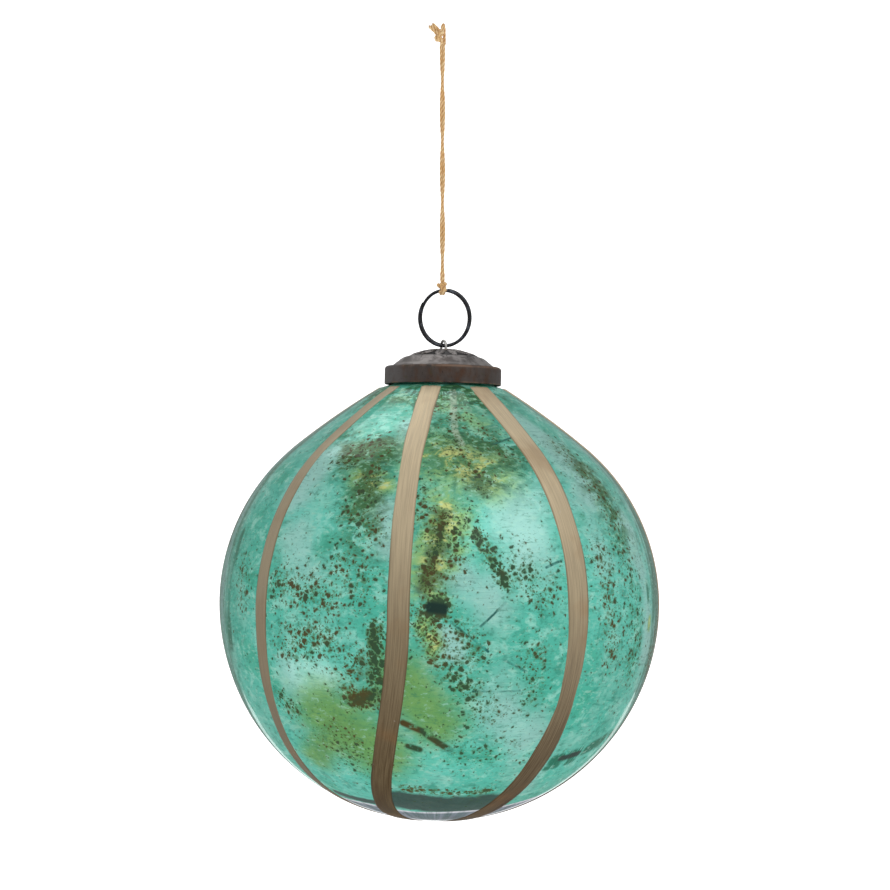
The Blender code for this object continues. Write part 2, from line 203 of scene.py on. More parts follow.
# The sky's brightness from straight down (0) to straight up (1), and its share that is left behind.
SKY_LEVELS = ((0.0, 0.36), (0.30, 0.48), (0.48, 0.60), (0.60, 0.68), (0.80, 0.66), (1.0, 0.60))
SKY_BEHIND = 0.5
FLOOR_BELOW = 0.32


# ---------------------------------------------------------------- materials


def rgb(red, green, blue):
    """A shader colour from screen values of 0 to 255."""
    return (*(((c / 255 + 0.055) / 1.055) ** 2.4 for c in (red, green, blue)), 1.0)


class Nodes:
    """A node tree, with a short call for each kind of node."""

    def __init__(self, tree):
        self.nodes = tree.nodes
        self.links = tree.links

    def put(self, socket, value):
        if isinstance(value, bpy.types.NodeSocket):
            self.links.new(value, socket)
        else:
            socket.default_value = value

    def node(self, kind, output, inputs=None, **settings):
        """Makes a node, fills its inputs by name or number and gives back one of its outputs."""
        made = self.nodes.new("ShaderNode" + kind)
        for key, value in settings.items():
            setattr(made, key, value)
        for key, value in (inputs or {}).items():
            self.put(made.inputs[key], value)
        return made.outputs[output]

    def math(self, kind, a, b=0.0, c=0.0):
        return self.node("Math", "Value", {0: a, 1: b, 2: c}, operation=kind)

    def times(self, a, b):
        return self.math("MULTIPLY", a, b)

    def vector(self, kind, inputs, output="Vector"):
        return self.node("VectorMath", output, inputs, operation=kind)

    def step(self, value, low, high, to_low=0.0, to_high=1.0):
        """Goes smoothly from to_low to to_high as value goes from low to high."""
        inputs = {"Value": value, "From Min": low, "From Max": high, "To Min": to_low, "To Max": to_high}
        return self.node("MapRange", "Result", inputs, interpolation_type="SMOOTHSTEP")

    def mix(self, share, a, b):
        return self.node("Mix", 2, {0: share, 6: a, 7: b}, data_type="RGBA")


class Look(Nodes):
    """A Principled material. Its colour is built up in layers, from the first one given."""

    def __init__(self, name, colour, **sockets):
        self.material = bpy.data.materials.new(name)
        self.material.use_nodes = True
        super().__init__(self.material.node_tree)
        self.shader = self.nodes["Principled BSDF"]
        self.colour = colour
        for key, value in sockets.items():
            self.set(key.replace("_", " "), value)
        self.place = self.node("TexCoord", "Object")

    def set(self, socket, value):
        self.put(self.shader.inputs[socket], value)

    def over(self, share, tint):
        """Lays a tint over the colour so far."""
        self.colour = self.mix(share, self.colour, tint)

    def finish(self, roughness=None, normal=None):
        """Links the colour that was built up, and the roughness and normal where they vary."""
        self.set("Base Color", self.colour)
        if roughness is not None:
            self.set("Roughness", roughness)
        if normal is not None:
            self.set("Normal", normal)
        return self

    def attribute(self, name, output="Fac"):
        return self.node("Attribute", output, attribute_name=name)

    def noise(self, scale, detail=3.0, rough=0.55, at=None, twist=0.0, output="Fac"):
        inputs = {"Vector": at or self.place, "Scale": scale, "Detail": detail, "Roughness": rough}
        return self.node("TexNoise", output, {**inputs, "Distortion": twist})

    def streaks(self, x, y, z, detail=4.0, rough=0.6, twist=0.0):
        """Noise with its own scale along each axis."""
        place = self.node("Mapping", "Vector", {"Vector": self.place, "Scale": (x, y, z)})
        return self.noise(1.0, detail, rough, place, twist)

    def height(self):
        return self.node("SeparateXYZ", "Z", {"Vector": self.place})

    def warped(self, scale, reach):
        """The place pushed about by noise, for ragged outlines."""
        push = self.noise(scale, 2.0, 0.5, output="Color")
        return self.vector("MULTIPLY_ADD", {0: push, 1: (reach, reach, reach), 2: self.place})

    def spots(self, scale, at, size):
        """How far inside a round spot each place is; size sets the spots' reach and chance varies it."""
        distance = self.node("TexVoronoi", "Distance", {"Vector": at, "Scale": scale})
        chance = self.times(distance.node.outputs["Color"], 0.5)
        reach = self.math("ADD", self.math("SUBTRACT", chance, 0.25), size)
        return self.math("SUBTRACT", reach, distance)

    def bump(self, height, distance, under=None):
        inputs = {"Strength": 1.0, "Distance": distance, "Height": height}
        if under is not None:
            inputs["Normal"] = under
        return self.node("Bump", "Normal", inputs)

    def stroke(self, ends, width):
        """1 on a thin line between two places on the ball, 0 away from it."""
        start, end = ball_point(*ends[:2]), ball_point(*ends[2:])
        line = end - start
        away = self.vector("SUBTRACT", {0: self.place, 1: start})
        along = self.vector("DOT_PRODUCT", {0: away, 1: line / line.length_squared}, "Value")
        share = self.math("MINIMUM", self.math("MAXIMUM", along, 0.0), 1.0)
        back = self.vector("SCALE", {0: line, "Scale": share})
        gap = self.vector("DISTANCE", {0: away, 1: back}, "Value")
        return self.step(gap, 0.4 * width, width, 1.0, 0.0)


# ---------------------------------------------------------------- mesh helpers


def show(thing):
    bpy.context.scene.collection.objects.link(thing)


def scatter(source, reach):
    """A random vector, each part of it from -reach to reach."""
    return Vector([source.uniform(-reach, reach) for _ in range(3)])


def ball_frame():
    """The ball's own frame: its centre, and the lean it hangs with."""
    low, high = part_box("glass_ball")
    centre = Vector(((low.x + high.x) / 2, (low.y + high.y) / 2, low.z + BALL_SQUASH * BALL_RADIUS))
    return Matrix.Translation(centre) @ Matrix.Rotation(math.radians(LEAN), 4, "Y")


def make_mesh(points, faces, **attributes):
    """A smooth mesh with its faces pointing out, and a value at each point for each attribute."""
    mesh = bpy.data.meshes.new("surface")
    mesh.from_pydata([tuple(p) for p in points], [], faces)
    for key, values in attributes.items():
        values = np.asarray(values, np.float32)
        if values.ndim == 2:
            mesh.attributes.new(key, "FLOAT_VECTOR", "POINT").data.foreach_set("vector", values.ravel())
        else:
            mesh.attributes.new(key, "FLOAT", "POINT").data.foreach_set("value", values)
    mesh.validate()
    shape = bmesh.new()
    shape.from_mesh(mesh)
    bmesh.ops.recalc_face_normals(shape, faces=shape.faces)
    shape.to_mesh(mesh)
    shape.free()
    mesh.shade_smooth()
    return mesh


def add_piece(name, mesh, look, body, replaces=(), place=None, sharp=None):
    """Puts a mesh in the scene, on its body, in place of the CAD nodes that it stands for."""
    if sharp is not None:
        mesh.set_sharp_from_angle(angle=math.radians(sharp))
    mesh.materials.append(look.material)
    mesh.name = name
    piece = bpy.data.objects.new(name, mesh)
    show(piece)
    if place is not None:
        piece.matrix_world = place
    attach(piece, body)
    if replaces:
        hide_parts(*replaces)
    return piece


def grid_faces(rows, columns, wrap_rows, wrap_columns):
    """Quads between rows of points, each row with the same number of columns."""
    faces = []
    for i in range(rows if wrap_rows else rows - 1):
        for j in range(columns if wrap_columns else columns - 1):
            a, b = i * columns, ((i + 1) % rows) * columns
            k = (j + 1) % columns
            faces.append((a + j, a + k, b + k, b + j))
    return faces


def revolve(outline, columns):
    """Points of an outline of (radius, height), turned round Z: rows by columns by 3."""
    turns = np.arange(columns) * (math.tau / columns)
    outline = np.array(outline)
    return np.stack([
        outline[:, :1] * np.sin(turns),
        -outline[:, :1] * np.cos(turns),
        np.repeat(outline[:, 1:], columns, axis=1),
    ], axis=-1)


def arc(centre, radius, start, end, steps):
    angles = [math.radians(start + (end - start) * i / steps) for i in range(steps + 1)]
    return [(centre[0] + radius * math.cos(a), centre[1] + radius * math.sin(a)) for a in angles]


def ramp(value, low, high):
    """Goes straight from 0 to 1 as value goes from low to high."""
    return np.clip((value - low) / (high - low), 0, 1)


def peak(value, centre, reach):
    """1 at the centre, falling to 0 at the reach on both sides."""
    return np.clip(1 - np.abs(value - centre) / reach, 0, 1)


def ripple(points, scale, seed):
    """Smooth noise from -1 to 1 at each point."""
    shift = Vector((seed, 2.0 * seed, 3.0 * seed))
    return np.array([noise.noise(Vector(p) * scale + shift) for p in points])


def smooth_route(route, step):
    """Evenly spaced points on a Catmull-Rom curve through the route's points."""
    padded = [2 * route[0] - route[1], *route, 2 * route[-1] - route[-2]]
    fine = []
    for a, b, c, d in zip(padded, padded[1:], padded[2:], padded[3:]):
        for i in range(24):
            t = i / 24
            fine.append(0.5 * (2 * b + (c - a) * t + (2 * a - 5 * b + 4 * c - d) * t**2)
                        + 0.5 * (3 * b - a - 3 * c + d) * t**3)
    fine.append(route[-1].copy())
    return evenly(fine, step)


def evenly(points, step):
    """The same line with points an equal distance apart."""
    points = np.array(points, float)
    runs = np.concatenate([[0.0], np.cumsum(np.linalg.norm(np.diff(points, axis=0), axis=1))])
    wanted = np.linspace(0.0, runs[-1], max(2, round(runs[-1] / step) + 1))
    return [Vector([np.interp(w, runs, points[:, k]) for k in range(3)]) for w in wanted]


def path_frames(path, closed=False):
    """A direction and two sides at each point, turning as little as possible along the path."""
    count = len(path)
    directions = []
    for i in range(count):
        before = path[i - 1] if closed or i else path[0]
        after = path[(i + 1) % count] if closed or i < count - 1 else path[-1]
        directions.append((after - before).normalized())
    side = directions[0].orthogonal().normalized()
    frames = []
    for direction in directions:
        side = (side - direction * side.dot(direction)).normalized()
        frames.append((direction, side, direction.cross(side)))
    return frames


def tube(path, sections, closed=False):
    """Points of a tube: sections(i) gives the (x, y) points of the section at each path point."""
    rows = []
    for i, (spot, frame_here) in enumerate(zip(path, path_frames(path, closed))):
        _, side, up = frame_here
        rows.append([spot + side * x + up * y for x, y in sections(i)])
    return rows


def tube_mesh(path, sections, closed=False, **attributes):
    """A tube with flat ends, or without ends where it is closed."""
    rows = tube(path, sections, closed)
    columns = len(rows[0])
    points = [p for row in rows for p in row]
    faces = grid_faces(len(rows), columns, closed, True)
    if not closed:
        faces.append(tuple(range(columns))[::-1])
        faces.append(tuple(range(len(points) - columns, len(points))))
    return make_mesh(points, faces, **attributes)


def lobed_reach(turn, diameter):
    """How far a rope's surface is from its centre in one direction: its strands lie side by side."""
    strand = STRAND_SHARE * diameter
    offset = diameter / 2 - strand
    nearest = (turn + math.pi / PLIES) % (math.tau / PLIES) - math.pi / PLIES
    return offset * math.cos(nearest) + math.sqrt(strand**2 - (offset * math.sin(nearest)) ** 2)


def runs_along(path):
    """The distance along the path to each of its points."""
    return np.concatenate([[0.0], np.cumsum([(b - a).length for a, b in zip(path, path[1:])])])


def rope_mesh(path, diameter, pitch=PLY_PITCH, closed=False):
    """A laid rope: its strands wind round the path, and 'groove' is deep between them."""
    runs = runs_along(path)
    whole = max(1, round(runs[-1] / pitch)) if closed else runs[-1] / pitch
    turns = [math.tau * i / ROPE_COLUMNS for i in range(ROPE_COLUMNS)]
    reaches = []
    for run in runs:
        wound = math.tau * whole * run / runs[-1]
        reaches.append([lobed_reach(turn - wound, diameter) for turn in turns])

    def section(i):
        return [(reach * math.cos(turn), reach * math.sin(turn)) for reach, turn in zip(reaches[i], turns)]

    groove = 1.0 - np.array(reaches).ravel() / (diameter / 2)
    return tube_mesh(path, section, closed, groove=groove)


def round_section(radius, columns):
    return [(radius * math.cos(math.tau * i / columns), radius * math.sin(math.tau * i / columns))
            for i in range(columns)]


def wire_mesh(path, diameter, columns):
    """A round wire with its ends a little rounded."""
    runs = runs_along(path)
    edge = 0.18 * diameter

    def section(i):
        near = min(runs[i], runs[-1] - runs[i])
        ease = 1.0 if near > edge else 0.72 + 0.28 * math.sqrt(near / edge)
        return round_section(diameter / 2 * ease, columns)

    return tube_mesh(path, section)


# ---------------------------------------------------------------- camera, lights and backdrop


def make_camera(centre):
    data = bpy.data.cameras.new("camera")
    data.lens = CAMERA_LENS
    data.sensor_width = 36.0
    data.shift_x, data.shift_y = CAMERA_SHIFT
    data.clip_start = 0.01
    camera = bpy.data.objects.new("camera", data)
    camera.location = (0.0, -CAMERA_BACK, centre.z + CAMERA_ABOVE_CENTRE)
    camera.rotation_euler = (math.radians(90.0), 0.0, 0.0)
    show(camera)
    bpy.context.scene.camera = camera


def make_lights(target):
    """Softboxes that face the ball."""
    for name, (azimuth, elevation, distance, width, height, watts) in SOFTBOXES.items():
        a, e = math.radians(azimuth), math.radians(elevation)
        aside = Vector((math.sin(a) * math.cos(e), -math.cos(a) * math.cos(e), math.sin(e)))
        data = bpy.data.lights.new(name, "AREA")
        data.shape = "RECTANGLE"
        data.size = width
        data.size_y = height
        data.energy = watts
        light = bpy.data.objects.new(name, data)
        light.location = target + aside * distance
        light.rotation_mode = "QUATERNION"
        light.rotation_quaternion = aside.to_track_quat("Z", "Y")
        show(light)


def make_world():
    """Soft light all round, dimmer below and behind, on a white that only the camera sees."""
    world = bpy.data.worlds.new("studio")
    bpy.context.scene.world = world
    world.use_nodes = True
    sky = Nodes(world.node_tree)
    split = {"Vector": sky.node("TexCoord", "Generated")}
    rise = sky.node("MapRange", "Result", {"Value": sky.node("SeparateXYZ", "Z", split), "From Min": -1.0})
    light = sky.node("ValToRGB", "Color", {"Fac": rise})
    stops = light.node.color_ramp.elements
    while len(stops) < len(SKY_LEVELS):
        stops.new(0.5)
    for element, (position, level) in zip(stops, SKY_LEVELS):
        element.position = position
        element.color = (level, level, level, 1.0)
    back = sky.node("SeparateXYZ", "Y", split)
    limits = {"From Min": -0.1, "From Max": 0.6, "To Min": 1.0, "To Max": SKY_BEHIND}
    share = sky.node("MapRange", "Result", {"Value": back, **limits})
    dim = sky.vector("SCALE", {0: light, "Scale": share})
    seen = sky.mix(sky.node("LightPath", "Is Camera Ray"), dim, (1.0, 1.0, 1.0, 1.0))
    sky.put(sky.nodes["Background"].inputs["Color"], seen)


def make_stage(low):
    """A pale floor that curves up into a white backdrop behind the ornament."""
    floor_z = low - FLOOR_BELOW
    front, turn, wall_y, top = -2.2, 0.5, 1.7, 1.6
    outline = [(front, 0.0), (wall_y - turn, 0.0)]
    outline += [(wall_y - turn + turn * math.sin(a), turn - turn * math.cos(a))
                for a in (math.radians(9 * i) for i in range(1, 11))]
    outline += [(wall_y, top)]
    rows = [[(x, y, floor_z + z) for x in (-2.6, 0.0, 2.6)] for y, z in outline]
    mesh = make_mesh([p for row in rows for p in row], grid_faces(len(rows), 3, False, False))
    look = Look("backdrop_paper", rgb(238, 238, 238), Roughness=0.9)
    look.over(look.noise(3.0), rgb(243, 243, 243))
    look.finish()
    look.set("Emission Color", rgb(255, 255, 255))
    look.set("Emission Strength", 0.65)
    mesh.materials.append(look.material)
    backdrop = bpy.data.objects.new("backdrop", mesh)
    backdrop.visible_glossy = False
    show(backdrop)


# ---------------------------------------------------------------- cord, knot and hitch


def cord_look():
    """Golden twisted thread, with painted shade in the grooves between its strands."""
    look = Look("cord_thread", rgb(218, 178, 120), Sheen_Weight=0.25, Sheen_Roughness=0.5)
    fibres = look.streaks(7000.0, 7000.0, 1600.0)
    look.over(look.step(fibres, 0.36, 0.66), rgb(250, 226, 180))
    look.over(look.step(look.noise(420.0, 2.0), 0.35, 0.68, 0.0, 0.6), rgb(214, 156, 80))
    # Painted shade: darker brown where the groove between the strands is deep.
    look.over(look.step(look.attribute("groove"), 0.03, 0.16, 0.0, 0.85), rgb(166, 112, 56))
    return look.finish(look.step(fibres, 0.3, 0.7, 0.72, 0.9), look.bump(fibres, 0.00006))


def leg_point(height, side):
    """A point on one of the two legs that twist round each other and close up inside the hitch."""
    turn = math.pi * (height - CROSSING_Z) / HALF_TURN + math.pi / 2
    apart = LEG_APART * min(1.0, LEG_CLOSED + (height - LEG_FOOT) / LEG_CLOSING)
    swing = Vector((math.cos(turn), math.sin(turn), 0.0)) * (side * apart / 2)
    return Vector((LEG_AXIS_X, 0.0, height)) + swing


def leg_points(top, side):
    steps = round((top - LEG_FOOT) / (2.0 * MM))
    return [leg_point(top + (LEG_FOOT - top) * i / steps, side) for i in range(steps + 1)]


def make_cord(look):
    """One cord: up leg B, over the hook, through the knot and down leg A. Returns the cord and its path."""
    route = leg_points(LEG_B_TOP, -1)[::-1]
    route += [Vector(p) * MM for p in TOP_LOOP + KNOT_PASS]
    route += leg_points(LEG_A_TOP, 1)
    path = smooth_route(route, CORD_STEP)
    mesh = rope_mesh(path, CORD_FLUFF * CORD_D)
    nodes = ("cord_leg_a", "cord_leg_b")
    return add_piece("hanging_cord_loop", mesh, look, "hanging_cord", nodes), path


def ring_of_cord(name, centre, turn, look, body, replaces=()):
    """One closed turn of cord, as a part of a knot."""
    axis, wide, deep, thickness = turn
    axis = Vector(axis).normalized()
    side = Vector((0.0, 1.0, 0.0)).cross(axis).normalized()
    front = axis.cross(side)
    line = [centre + side * (wide * MM * math.cos(a)) + front * (deep * MM * math.sin(a))
            for a in (math.tau * i / 60 for i in range(61))]
    path = evenly(line, KNOT_STEP)[:-1]
    mesh = rope_mesh(path, thickness * MM, KNOT_PITCH, closed=True)
    return add_piece(name, mesh, look, body, replaces)


def short_cord(name, route, thickness, look, body, replaces=()):
    """A short open piece of cord along a route."""
    return add_piece(name, rope_mesh(smooth_route(route, KNOT_STEP), thickness), look, body, replaces)


def make_knot(look):
    """The overhand knot that joins the cord's ends: two turns and a strand across them, and two tails."""
    low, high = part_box("top_knot")
    centre = (low + high) / 2
    body = "hanging_cord"
    upper = centre + Vector((0.30, -0.05, 0.95)) * MM
    lower = centre + Vector((-0.05, 0.0, -0.50)) * MM
    pieces = [
        ring_of_cord("knot_turn_upper", upper, KNOT_UPPER_TURN, look, body, ["top_knot"]),
        ring_of_cord("knot_turn_lower", lower, KNOT_LOWER_TURN, look, body),
        short_cord("knot_strand", [centre + Vector(p) * MM for p in KNOT_STRAND], 1.05 * MM, look, body),
    ]
    for number, route in enumerate(TAILS, 1):
        spots = [Vector(p) * MM for p in route]
        tail = short_cord(f"knot_tail_{number}", spots, 1.5 * CORD_D, look, body, [f"cord_tail_{number}"])
        pieces.append(tail)
    return pieces


def loose_fibres(name, look, roots, seed, length, thickness):
    """Short stray fibres as one mesh of thin curved hairs. roots are (place, direction) pairs."""
    source = random.Random(seed)
    points, faces, groove = [], [], []
    for spot, direction in roots:
        side = scatter(source, 1)
        droop = scatter(source, 0.5) * length
        reach = length * source.uniform(0.5, 1.0)
        path = [spot + direction * (reach * t) + side * (0.25 * length * t * t) + droop * t * t * 0.4
                for t in (0.0, 0.25, 0.5, 0.75, 1.0)]
        start = len(points)
        for row in tube(path, lambda i: round_section(thickness / 2 * (1.0 - 0.15 * i), 4)):
            points += row
        faces += [tuple(start + k for k in face) for face in grid_faces(5, 4, False, True)]
        faces.append((start + 3, start + 2, start + 1, start))
        faces.append((start + 16, start + 17, start + 18, start + 19))
        groove += [source.uniform(0.0, 0.3)] * 20
    mesh = make_mesh(points, faces, groove=groove)
    return add_piece(name, mesh, look, "hanging_cord")


def make_frays(look, cord_path):
    """Cut ends that have opened into fibres, and a little fuzz along the cord."""
    source = random.Random(11)
    pieces = []
    for number, route in enumerate(TAILS, 1):
        end, before = Vector(route[-1]) * MM, Vector(route[-2]) * MM
        out = (end - before).normalized()
        roots = []
        for _ in range(40):
            aside = scatter(source, 1) * 0.38 * MM
            roots.append((end - out * 0.3 * MM + aside, (out + aside / (1.1 * MM)).normalized()))
        pieces.append(loose_fibres(f"tail_fray_{number}", look, roots, number, 0.7 * MM, 0.11 * MM))
    roots = []
    for i in range(30, len(cord_path) - 30, 9):
        aside = scatter(source, 1)
        along = (cord_path[i + 1] - cord_path[i]).normalized()
        aside = (aside - along * aside.dot(along)).normalized()
        roots.append((cord_path[i] + aside * 0.3 * MM, (aside * 0.6 + along).normalized()))
    pieces.append(loose_fibres("cord_fuzz", look, roots, 5, 0.5 * MM, 0.022 * MM))
    return pieces


def ring_point(angle):
    """A point on the split ring's wire, from its centre; its two layers cross near the top."""
    share = min(max((angle - RING_CROSSING[0]) / RING_CROSSING[1], 0.0), 1.0)
    layer = 2 * share**2 * (3 - 2 * share) - 1
    turn = math.radians(angle)
    flat = Vector((RING_HALF_WIDE * math.cos(turn), 0.0, RING_HALF_TALL * math.sin(turn)))
    return flat + Vector((0.16 * MM, RING_LAYER, 0.12 * MM)) * layer


def make_hitch(look):
    """The cord's turns round the ring, and the collar, bight and core that they hang from."""
    low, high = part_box("hitch_wrap")
    centre = (low + high) / 2
    reach_y = RING_LAYER + RING_WIRE / 2 + 0.36 * HITCH_TURN_D
    reach_z = RING_WIRE / 2 + 0.36 * HITCH_TURN_D
    path = []
    for i in range(2 * 48 + 1):
        a = math.tau * i / 48 + math.radians(200.0)
        along = (1.25 * i / 96 - 0.52) * MM
        path.append(centre + Vector((along, reach_y * math.cos(a), reach_z * math.sin(a))))
    wrap = rope_mesh(evenly(path, KNOT_STEP), HITCH_TURN_D)
    pivot = Vector((LEG_AXIS_X, 0.0, PIVOT_Z))
    collar = pivot + Vector((0.15, 0.0, -0.55)) * MM
    bight = pivot + Vector((-0.55, 0.0, -1.10)) * MM
    core = [pivot + Vector((0.05, 0.0, z)) * MM for z in (0.5, 0.0, -0.5, -1.25)]
    return [
        add_piece("hitch_turns", wrap, look, "ring", ["hitch_wrap"]),
        ring_of_cord("hitch_collar", collar, HITCH_COLLAR_TURN, look, "hitch", ["hitch_throat"]),
        ring_of_cord("hitch_bight", bight, HITCH_BIGHT_TURN, look, "hitch"),
        short_cord("hitch_core", core, 1.1 * MM, look, "hitch"),
    ]


# ---------------------------------------------------------------- ring, eyelet and cap


def black_wire_look():
    """Blackened spring steel, rubbed brighter in places."""
    look = Look("blackened_steel", rgb(24, 25, 29), Metallic=0.75, Coat_Weight=0.25)
    wear = look.noise(520.0, 4.0, 0.65)
    fine = look.noise(2600.0)
    look.over(look.step(wear, 0.46, 0.72), rgb(92, 98, 108))
    look.over(look.step(fine, 0.5, 0.75), rgb(58, 56, 58))
    return look.finish(look.step(wear, 0.35, 0.7, 0.30, 0.52), look.bump(fine, 0.00003))


def make_ring(look):
    centre = Vector((RING_CENTRE_X, 0.0, RING_TOP_Z - RING_HALF_TALL))
    start, winding = RING_WINDING
    path = [centre + ring_point(start + winding * i / 360) for i in range(361)]
    mesh = wire_mesh(evenly(path, 0.22 * MM), RING_WIRE, 20)
    return add_piece("split_ring_wire", mesh, look, "ring", ["split_ring"])


def eyelet_look():
    """Tinned wire, tarnished in patches."""
    look = Look("tinned_wire", rgb(205, 204, 200), Metallic=1.0)
    tarnish = look.noise(900.0, 4.0, 0.6)
    look.over(look.step(tarnish, 0.44, 0.64), rgb(92, 90, 88))
    fine = look.bump(look.noise(3200.0, 2.0), 0.00002)
    return look.finish(look.step(tarnish, 0.4, 0.66, 0.24, 0.5), fine)


def make_eyelet(look):
    """An arch over the ring's wire, with legs that turn outward under the dome."""
    turn = math.radians(EYELET_TURN)
    across = Vector((math.sin(turn), -math.cos(turn), 0.0))
    up = Vector((0.0, 0.0, 1.0))
    foot = Vector((0.0, 0.0, RING_TOP_Z - 2 * RING_HALF_TALL))
    half = [(x, z - EYELET_DROP) for x, z in arc((0.0, 0.0), EYELET_ARCH, 90, 0, 8)]
    half += [(EYELET_ARCH, 0.5 * (EYELET_LEG_END - EYELET_DROP)), (EYELET_ARCH, EYELET_LEG_END)]
    half += arc((EYELET_ARCH + EYELET_BEND, EYELET_LEG_END), EYELET_BEND, 200, 260, 3)
    half += EYELET_SPREAD
    right = [foot + across * x + up * z for x, z in half]
    left = [foot - across * x + up * z for x, z in half]
    mesh = wire_mesh(smooth_route(left[::-1] + right[1:], 0.15 * MM), EYELET_WIRE, 18)
    return add_piece("eyelet_wire", mesh, look, "eyelet", ["eyelet"])


def band_look():
    """Antique bronze: brown with reddish wear in front, greyer at the sides, rubbed along its edges,
    painted shade inside.
    """
    look = Look("antique_bronze", rgb(70, 62, 59), Metallic=0.7)
    wear = look.streaks(180.0, 180.0, 84.0, 5.0, 0.62)
    drips = look.streaks(300.0, 300.0, 170.0)
    fine = look.noise(1500.0, 4.0, 0.65)
    front = look.attribute("front")
    look.over(look.step(wear, 0.36, 0.66), rgb(90, 80, 75))
    look.over(look.step(front, 0.75, 0.25), rgb(104, 100, 99))
    look.over(look.times(front, look.step(drips, 0.40, 0.66)), rgb(84, 60, 46))
    look.over(look.step(look.noise(260.0), 0.56, 0.70, 0.0, 0.45), rgb(70, 66, 40))
    look.over(look.step(fine, 0.42, 0.28, 0.0, 0.7), rgb(44, 38, 36))
    look.over(look.times(look.attribute("edge"), look.step(wear, 0.44, 0.62)), rgb(136, 110, 92))
    # Painted shade: near black on the inner wall below the lip.
    look.over(look.attribute("under"), rgb(30, 22, 20))
    return look.finish(look.step(wear, 0.35, 0.65, 0.38, 0.55),
                       look.bump(fine, 0.00003, look.bump(drips, 0.00008)))


def make_band(look, place):
    """The collar band: a rolled foot, a soft shoulder and a lip that turns in over the dome's rim."""
    inner = BAND_RADIUS - BAND_WALL
    straight = BAND_HEIGHT - BAND_ROUND_TOP - BAND_ROUND_FOOT
    outline = [(inner, 0.0)]
    outline += arc((BAND_RADIUS - BAND_ROUND_FOOT, BAND_ROUND_FOOT), BAND_ROUND_FOOT, -90, 0, 4)
    outline += [(BAND_RADIUS, BAND_ROUND_FOOT + straight * i / 12) for i in range(1, 12)]
    outline += arc((BAND_RADIUS - BAND_ROUND_TOP, BAND_HEIGHT - BAND_ROUND_TOP), BAND_ROUND_TOP, 0, 90, 8)
    outline += [(LIP_RADIUS, BAND_HEIGHT), (LIP_RADIUS, BAND_HEIGHT - BAND_WALL)]
    outline += [(inner, BAND_HEIGHT - BAND_WALL)]
    points = revolve(outline, BAND_COLUMNS).reshape(-1, 3)
    radius = np.linalg.norm(points[:, :2], axis=1)
    dents = ripple(points, 130.0, 3.0) * 0.07 * MM + ripple(points, 420.0, 8.0) * 0.025 * MM
    points[:, :2] *= (1 + dents / radius)[:, None]
    height = points[:, 2] / BAND_HEIGHT
    turn = np.arctan2(points[:, 0], -points[:, 1])
    mesh = make_mesh(
        points, grid_faces(len(outline), BAND_COLUMNS, True, True),
        edge=peak(height, 0.03, 0.06) + peak(height, 0.93, 0.09),
        # under: the inner wall below the lip, which takes painted shade.
        under=ramp(radius, inner + 0.1 * MM, inner) * (height < 0.9),
        front=0.62 + 0.38 * np.cos(turn * 2) + 0.2 * np.sin(turn),
    )
    place = place @ Matrix.Translation((0, 0, BAND_ABOVE_CENTRE))
    return add_piece("collar_band", mesh, look, "ornament", ["cap_band"], place, 50.0)


def dome_look():
    """Grey pewter with dark hollows, fine creases round the eyelet and rubbed high spots."""
    look = Look("aged_pewter", rgb(104, 99, 97), Metallic=0.8)
    mottle = look.noise(330.0, 5.0, 0.62)
    look.over(look.step(mottle, 0.36, 0.62), rgb(162, 157, 155))
    look.over(look.step(look.noise(120.0), 0.54, 0.70, 0.0, 0.7), rgb(112, 90, 68))
    hollow = look.math("ADD", look.attribute("hollow"), look.times(mottle, 0.35))
    look.over(look.step(hollow, 0.66, 1.02), rgb(26, 23, 23))
    ridge = look.math("ABSOLUTE", look.math("SUBTRACT", look.noise(260.0, 2.0, 0.5, twist=0.6), 0.5))
    near_eyelet = look.step(look.height(), -3.8 * MM, -2.6 * MM)
    look.over(look.times(look.step(ridge, 0.006, 0.030, 0.85, 0.0), near_eyelet), rgb(34, 30, 30))
    look.over(look.attribute("ledge"), rgb(150, 146, 144))
    fine = look.bump(look.noise(1700.0), 0.00004, look.bump(mottle, 0.0001))
    return look.finish(look.step(mottle, 0.35, 0.66, 0.34, 0.55), fine)


def dome_height(radius):
    sphere = (DOME_RADIUS**2 + DOME_RISE**2) / (2 * DOME_RISE)
    return np.sqrt(sphere**2 - radius**2) - sphere


def petal_height(radius, turn):
    """Height of the pressed petals, 0 in the hollows to 1 on their backs."""
    share = ramp(radius, *PETAL_REACH)
    half = 0.90 * np.sin(np.pi * share**0.75) ** 0.7
    across = np.abs((turn * PETALS / math.pi + 1) % 2 - 1)
    inside = ramp(half - across, 0.0, 0.35)
    vein = 0.45 * np.exp(-(across / 0.10) ** 2) * (half > 0.3)
    return inside * inside * (3 - 2 * inside) * (1 - vein)


